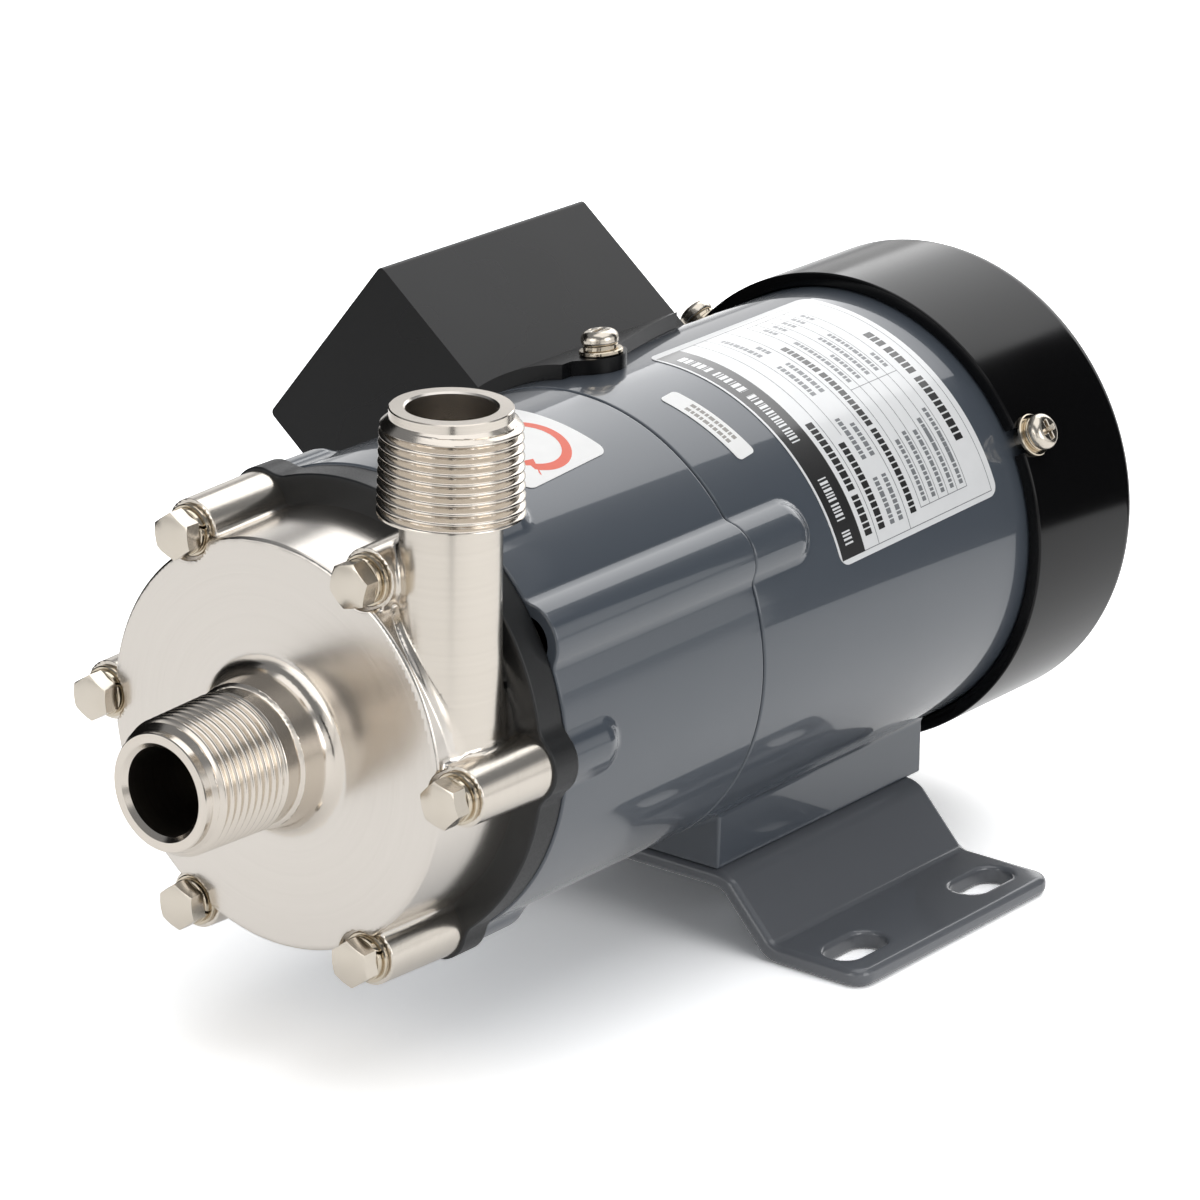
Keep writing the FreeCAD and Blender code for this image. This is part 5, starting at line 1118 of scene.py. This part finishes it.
# Screen-printed ink: even and black, and thinned greys for the fine print
black_ink = small_metal("laminated_black_ink", "171718", "131314", (0.40, 0.5), 0.3, 0.0005, 0.0, **LAMINATE)
grey_ink = small_metal("laminated_grey_ink", "7E8184", "76797C", (0.45, 0.55), 0.3, 0.0005, 0.0, **LAMINATE)
pale_ink = small_metal("thinned_grey_ink", "A3A09B", "96938E", (0.45, 0.55), 0.3, 0.0005, 0.0)
red_ink = small_metal("orange_red_screen_ink", "EC6B52", "E4634A", (0.40, 0.5), 0.3, 0.001, 0.0)

RATING_SLOPE = -0.024
middle = label("rating_label", (14.3, 76.6, 146.3, 200.1), 2.6, silver_film, RATING_SLOPE)
RATING_PRINT = (middle, RATING_SLOPE)
printing("rating_band", [(15.4, 74.6, 146.9, 154.4)], black_ink, *RATING_PRINT)
band = dashes([(18.0, 22.0), (22.9, 32.2), (40.5, 54.4), (55.3, 62.8), (63.9, 71.8)], 149.0, 151.6,
              (1.3, 1.0, 1.5, 0.9, 1.2), 0.35)
printing("rating_band_dashes", band, silver_film, *RATING_PRINT)
bold = (dashes([(18.0, 26.4), (27.3, 43.7)], 155.8, 158.0, (1.2, 0.9, 1.4, 1.1), 0.3)
        + dashes([(18.0, 37.3)], 160.4, 162.4, (1.2, 0.9, 1.4, 1.1), 0.3)
        + dashes([(18.2, 36.6), (37.5, 52.1), (52.8, 61.8)], 171.4, 173.3, (1.1, 0.8, 1.3, 1.0), 0.3)
        + dashes([(27.5, 43.2), (44.0, 51.4), (52.5, 57.3)], 193.4, 195.9, (1.3, 1.0, 1.5, 1.1), 0.35))
printing("rating_headings", bold, black_ink, *RATING_PRINT)
FIRST_WORDS = (10.9, 11.6, 11.7, 14.4, 11.1)
SECOND_WORDS = ((29.5, 33.4), (29.4, 34.0), (29.8, 33.7), (28.1, 35.3), (24.1, 37.0))
THIRD_WORDS = (15.3, 8.1, 13.1, 14.1, 4.3)
FINE_LOW, FINE_HIGH, FINE_SPACING = 176.2, 177.4, 3.22
fine = (dashes([(18.0, 27.7), (31.8, 42.3), (48.0, 58.5), (62.0, 72.0)], 164.3, 165.7)
        + dashes([(18.0, 28.3), (31.8, 40.0), (48.0, 58.7), (62.0, 65.3)], 167.2, 168.6))
for row in range(5):
    first = (19.4, 19.4 + FIRST_WORDS[row] - 0.2)
    fine += dashes([first, SECOND_WORDS[row], (47.6, 47.6 + THIRD_WORDS[row]), (66.6, 69.6)],
                   FINE_LOW + FINE_SPACING * row, FINE_HIGH + FINE_SPACING * row)
printing("rating_fine_print", fine, grey_ink, *RATING_PRINT)
rules = [(15.4, 74.6, place, place + 0.16) for place in (159.1, 169.9)]
rules += [(18.4, 72.8, place, place + 0.14) for place in (174.9, 178.0, 181.2, 184.5, 187.7, 191.0)]
rules += [(arc, arc + 0.14, 175.04, 191.0) for arc in (18.4, 45.8, 72.66)]
rules += [(38.0, 74.6, 162.9, 163.02), (15.4, 15.56, 154.4, 198.4), (74.44, 74.6, 154.4, 198.4),
          (15.56, 74.44, 198.24, 198.4)]
printing("rating_rules", rules, grey_ink, *RATING_PRINT)

SEAM_STICKER_SLOPE = -0.12
middle = label("seam_sticker", (41.0, 61.3, 131.7, 137.2), 1.1, white_paper, SEAM_STICKER_SLOPE)
printing("seam_sticker_dashes", dashes([(45.2, 56.8)], 132.9, 134.0) + dashes([(45.2, 56.6)], 135.0, 136.1),
         pale_ink, middle, SEAM_STICKER_SLOPE)

# A plain turning arrow fills the round sign of the sticker beside the neck
ARROW_SLOPE = -0.07
label("arrow_sticker", (52.2, 78.4, 78.2, 104.2), 2.4, white_paper, ARROW_SLOPE)
centre = (63.2, 91.0)
ARROW_START, ARROW_SWEEP = -40, 250
ARROW_INSIDE, ARROW_MIDDLE, ARROW_OUTSIDE, ARROW_STEPS = 7.6, 8.6, 9.6, 56
HEAD_INSIDE, HEAD_OUTSIDE, HEAD_TURN = 6.0, 11.2, 0.5


def on_arrow(radius, angle):
    """A place on the sticker, round the arrow's centre."""
    return centre[0] + radius * math.cos(angle), centre[1] + radius * math.sin(angle)


ring_cells = []
for i in range(ARROW_STEPS):
    a, b = (math.radians(ARROW_START + ARROW_SWEEP * k / ARROW_STEPS) for k in (i, i + 1))
    ring_cells.append((on_arrow(ARROW_INSIDE, a), on_arrow(ARROW_OUTSIDE, a),
                       on_arrow(ARROW_OUTSIDE, b), on_arrow(ARROW_INSIDE, b)))
tip = math.radians(ARROW_START + ARROW_SWEEP)
head_start = [on_arrow(radius, tip) for radius in (HEAD_INSIDE, ARROW_MIDDLE, HEAD_OUTSIDE)]
head_point = on_arrow(ARROW_MIDDLE, tip + HEAD_TURN)
ring_cells += [(head_start[0], head_start[1], head_point), (head_start[1], head_start[2], head_point)]
arrow = wrapped_sheet("arrow_print", ring_cells, INK_LIFT, INK_THICK)
fit(arrow, "housing", None, [red_ink])


# ---- Terminal box
# Folded from 1.2 mm sheet steel and powder coated black. It leans on the motor frame over the capacitor and
# the terminals, held by two screws through its saddle flanges.
BOX_SCREW_Y, BOX_SEAT, BOX_SCREWS = 136.5, 49.65, (98.0, 195.0)


def dressed(name, node, edge_mm, segments=2):
    """A copy of a CAD node as sheet metal or casting comes: merged, with its edges rounded."""
    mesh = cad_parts[node].data.copy()
    for layer in [layer.name for layer in mesh.attributes if layer.name == "custom_normal"]:
        mesh.attributes.remove(mesh.attributes[layer])
    building = bmesh.new()
    building.from_mesh(mesh)
    bmesh.ops.remove_doubles(building, verts=building.verts, dist=2e-6)
    bmesh.ops.dissolve_limit(building, angle_limit=math.radians(0.6), verts=building.verts,
                             edges=building.edges)
    piece = closed_piece(name, building, 25)
    rounded = piece.modifiers.new("edges", "BEVEL")
    rounded.width, rounded.segments, rounded.limit_method = edge_mm * MM, segments, "ANGLE"
    rounded.angle_limit = math.radians(28)
    rounded.harden_normals = True
    bpy.data.meshes.remove(mesh)
    return applied(piece)


# Black powder coat on sheet steel: near black, with broad soft highlights
black_powder_coat = enamel_finish("black_powder_coat", "0D0D0E", "0A0A0B", (0.24, 0.30), **{
    "Specular IOR Level": 0.24})
box = dressed("terminal_box_cover", "terminal_box", 0.5, 3)
fit(box, "housing", "black_paint", [black_powder_coat], "terminal_box")
radial_screws("terminal_box", BOX_SEAT, BOX_SCREW_Y, BOX_SCREWS, seed=9)


# ---- Base plate
# Bent from 4 mm steel sheet into a raised bed with a foot at each side, two slots in each foot, and sprayed
# dark grey. Four screws from below hold it to the pedestal.
# The sheet is a hair under 4 mm here, so that its mesh stays inside the solid
BED_TOP, FOOT_TOP, SHEET = -50.4, -62.7, 3.93
BED_HALF, FOOT_START, PLATE_HALF = 28.5, 40.0, 62.0
PLATE_FRONT, PLATE_REAR = 133.3, 200.1
SLOT_X, SLOT_Y, SLOT_HALF_SPACING, SLOT_RADIUS = 52.6, 165.9, 21.8, 4.0
SCREW_X, BED_SCREWS_Y, SCREW_HALF_SPACING = 18.0, 168.5, 18.5


def base_plate(x, y, z):
    """The bent sheet with rounded edges, its foot slots and its screw holes."""
    fall = math.atan2(BED_TOP - FOOT_TOP, FOOT_START - BED_HALF)
    side = np.abs(x)
    slope = (side - BED_HALF) * math.sin(fall) + (z - BED_TOP) * math.cos(fall)
    above = meet(z - BED_TOP, melt(slope, z - FOOT_TOP, 0.8), 2.1)
    below = meet(z - BED_TOP + SHEET, melt(slope + SHEET, z - FOOT_TOP + SHEET, 2.1), 0.8)
    outline = meet(side - PLATE_HALF, slab(y, PLATE_FRONT, PLATE_REAR), 4.0)
    sheet = meet(np.maximum(above, -below), outline, 1.6)
    along = np.abs(np.abs(y - SLOT_Y) - SLOT_HALF_SPACING) - SLOT_RADIUS
    slot = np.hypot(side - SLOT_X, np.maximum(along, 0)) - SLOT_RADIUS
    hole = np.hypot(side - SCREW_X, np.abs(y - BED_SCREWS_Y) - SCREW_HALF_SPACING) - BOLT_HOLE
    return meet(sheet, -np.minimum(slot, hole), 0.9)


# The same kind of enamel in plain dark grey: a step paler and less blue than the motor, and softer in gloss
dark_grey_enamel = enamel_finish("dark_grey_enamel", "696C71", "65686D", (0.30, 0.36), **{
    "Specular IOR Level": 0.3, "Coat Weight": 1.0, "Coat Roughness": 0.08})
plate = formed("bent_base_plate", base_plate,
               spread((-62.8, 0.4), (-60.0, 0.8), (-27.0, 2.0), (27.0, 0.8), (60.0, 0.4), (62.8, None)),
               spread((-67.3, 0.4), (-49.6, None)),
               spread((132.5, 0.4), (135.5, 0.8), (198.0, 0.4), (200.9, None)), polar=False)
fit(plate, "housing", "dark_grey_paint", [dark_grey_enamel], "base_plate")


# ---- Pieces inside
# What the casings hide, each in the finish of what it is made of, for views of the parts by themselves.
def carried_over(finish, *names):
    """Gives CAD nodes that stay in the model their finish."""
    for name in names:
        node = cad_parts[name]
        node.data.materials.clear()
        node.data.materials.append(finish)


# Fluorocarbon rubber: dead black, almost without shine
carried_over(moulded_finish("fluorocarbon_rubber", "1B1B1B", "131313", (0.55, 0.7), 0.3, 0.01),
             "casing_o_ring", "cable_grommet")
# Natural polypropylene with glass: a pale ivory, waxy and even
carried_over(moulded_finish("natural_polypropylene", "DAD5C6", "CFC9B8", (0.35, 0.45), 0.5, 0.01),
             "spindle_support", "impeller", "terminal_block")
# Sintered alumina, ground: white, hard and smooth
carried_over(moulded_finish("ground_alumina", "EDEAE2", "E2DED4", (0.15, 0.25), 0.4, 0.002),
             "spindle", "front_thrust_washer", "rear_thrust_washer")
# Pressed carbon graphite: dark grey with a soft metallic shimmer
carried_over(small_metal("carbon_graphite", "3A3B3D", "2C2D2F", (0.3, 0.45), 0.4, 0.006, metallic=0.4),
             "impeller_bush")
# Sintered ferrite magnet: charcoal, ground smooth on its faces
carried_over(small_metal("sintered_ferrite", "3C3B3A", "302F2E", (0.35, 0.5), 0.5, 0.008, metallic=0.5),
             "inner_magnets", "drive_magnets")
# Ground carbon steel: bright grey with fine grinding lines
carried_over(small_metal("ground_carbon_steel", "B5B4B2", "9E9D9B", (0.2, 0.34), 0.5, 0.004),
             "inner_magnet_yoke", "drive_magnet_hub", "hub_set_screw", "motor_shaft", "bearing_balls",
             "bearing_inner_races", "bearing_outer_races", "fan_circlip", "wave_washer")
# Stacked electrical steel sheets: dull grey with the oxide's blue cast
carried_over(small_metal("electrical_steel_stack", "8A8E94", "74787E", (0.4, 0.55), 0.5, 0.02),
             "stator_core", "rotor_core")
# Enamelled copper wire under varnish: deep orange brown and glossy
carried_over(small_metal("varnished_copper_wire", "A5562A", "7E3C1B", (0.2, 0.35), 0.8, 0.05, metallic=0.8),
             "stator_windings")
# Die-cast aluminium: pale grey, slightly rough, with cloudy flow marks
carried_over(small_metal("die_cast_aluminium", "BFC1C3", "A9ABAE", (0.35, 0.5), 0.6, 0.015),
             "rotor_end_rings", "rear_end_shield")
# Zinc plating, clear passivated: cool and bright
carried_over(small_metal("clear_zinc_plate", "C3C6CA", "ABAFB5", (0.2, 0.34), 0.4, 0.004),
             "end_shield_screws", "capacitor_strap", "base_plate_screws", "base_plate_lock_washers")
# Brass strip: warm yellow, rolled smooth
carried_over(small_metal("rolled_brass", "C9A75A", "B08E45", (0.18, 0.3), 0.5, 0.004),
             "bearing_cages", "terminal_screws")
# Aluminium capacitor can in a shrunk plastic sleeve: light grey, glossy
carried_over(moulded_finish("shrink_sleeve", "B9BCC0", "AEB1B6", (0.18, 0.28), 0.6, 0.008), "capacitor")
# The fan is of the rear casing's plastic, and the tie bolts are as bright as the casing bolts
carried_over(black_moulding, "fan")
carried_over(bright_bolt, "tie_bolts", "tie_bolt_washers")
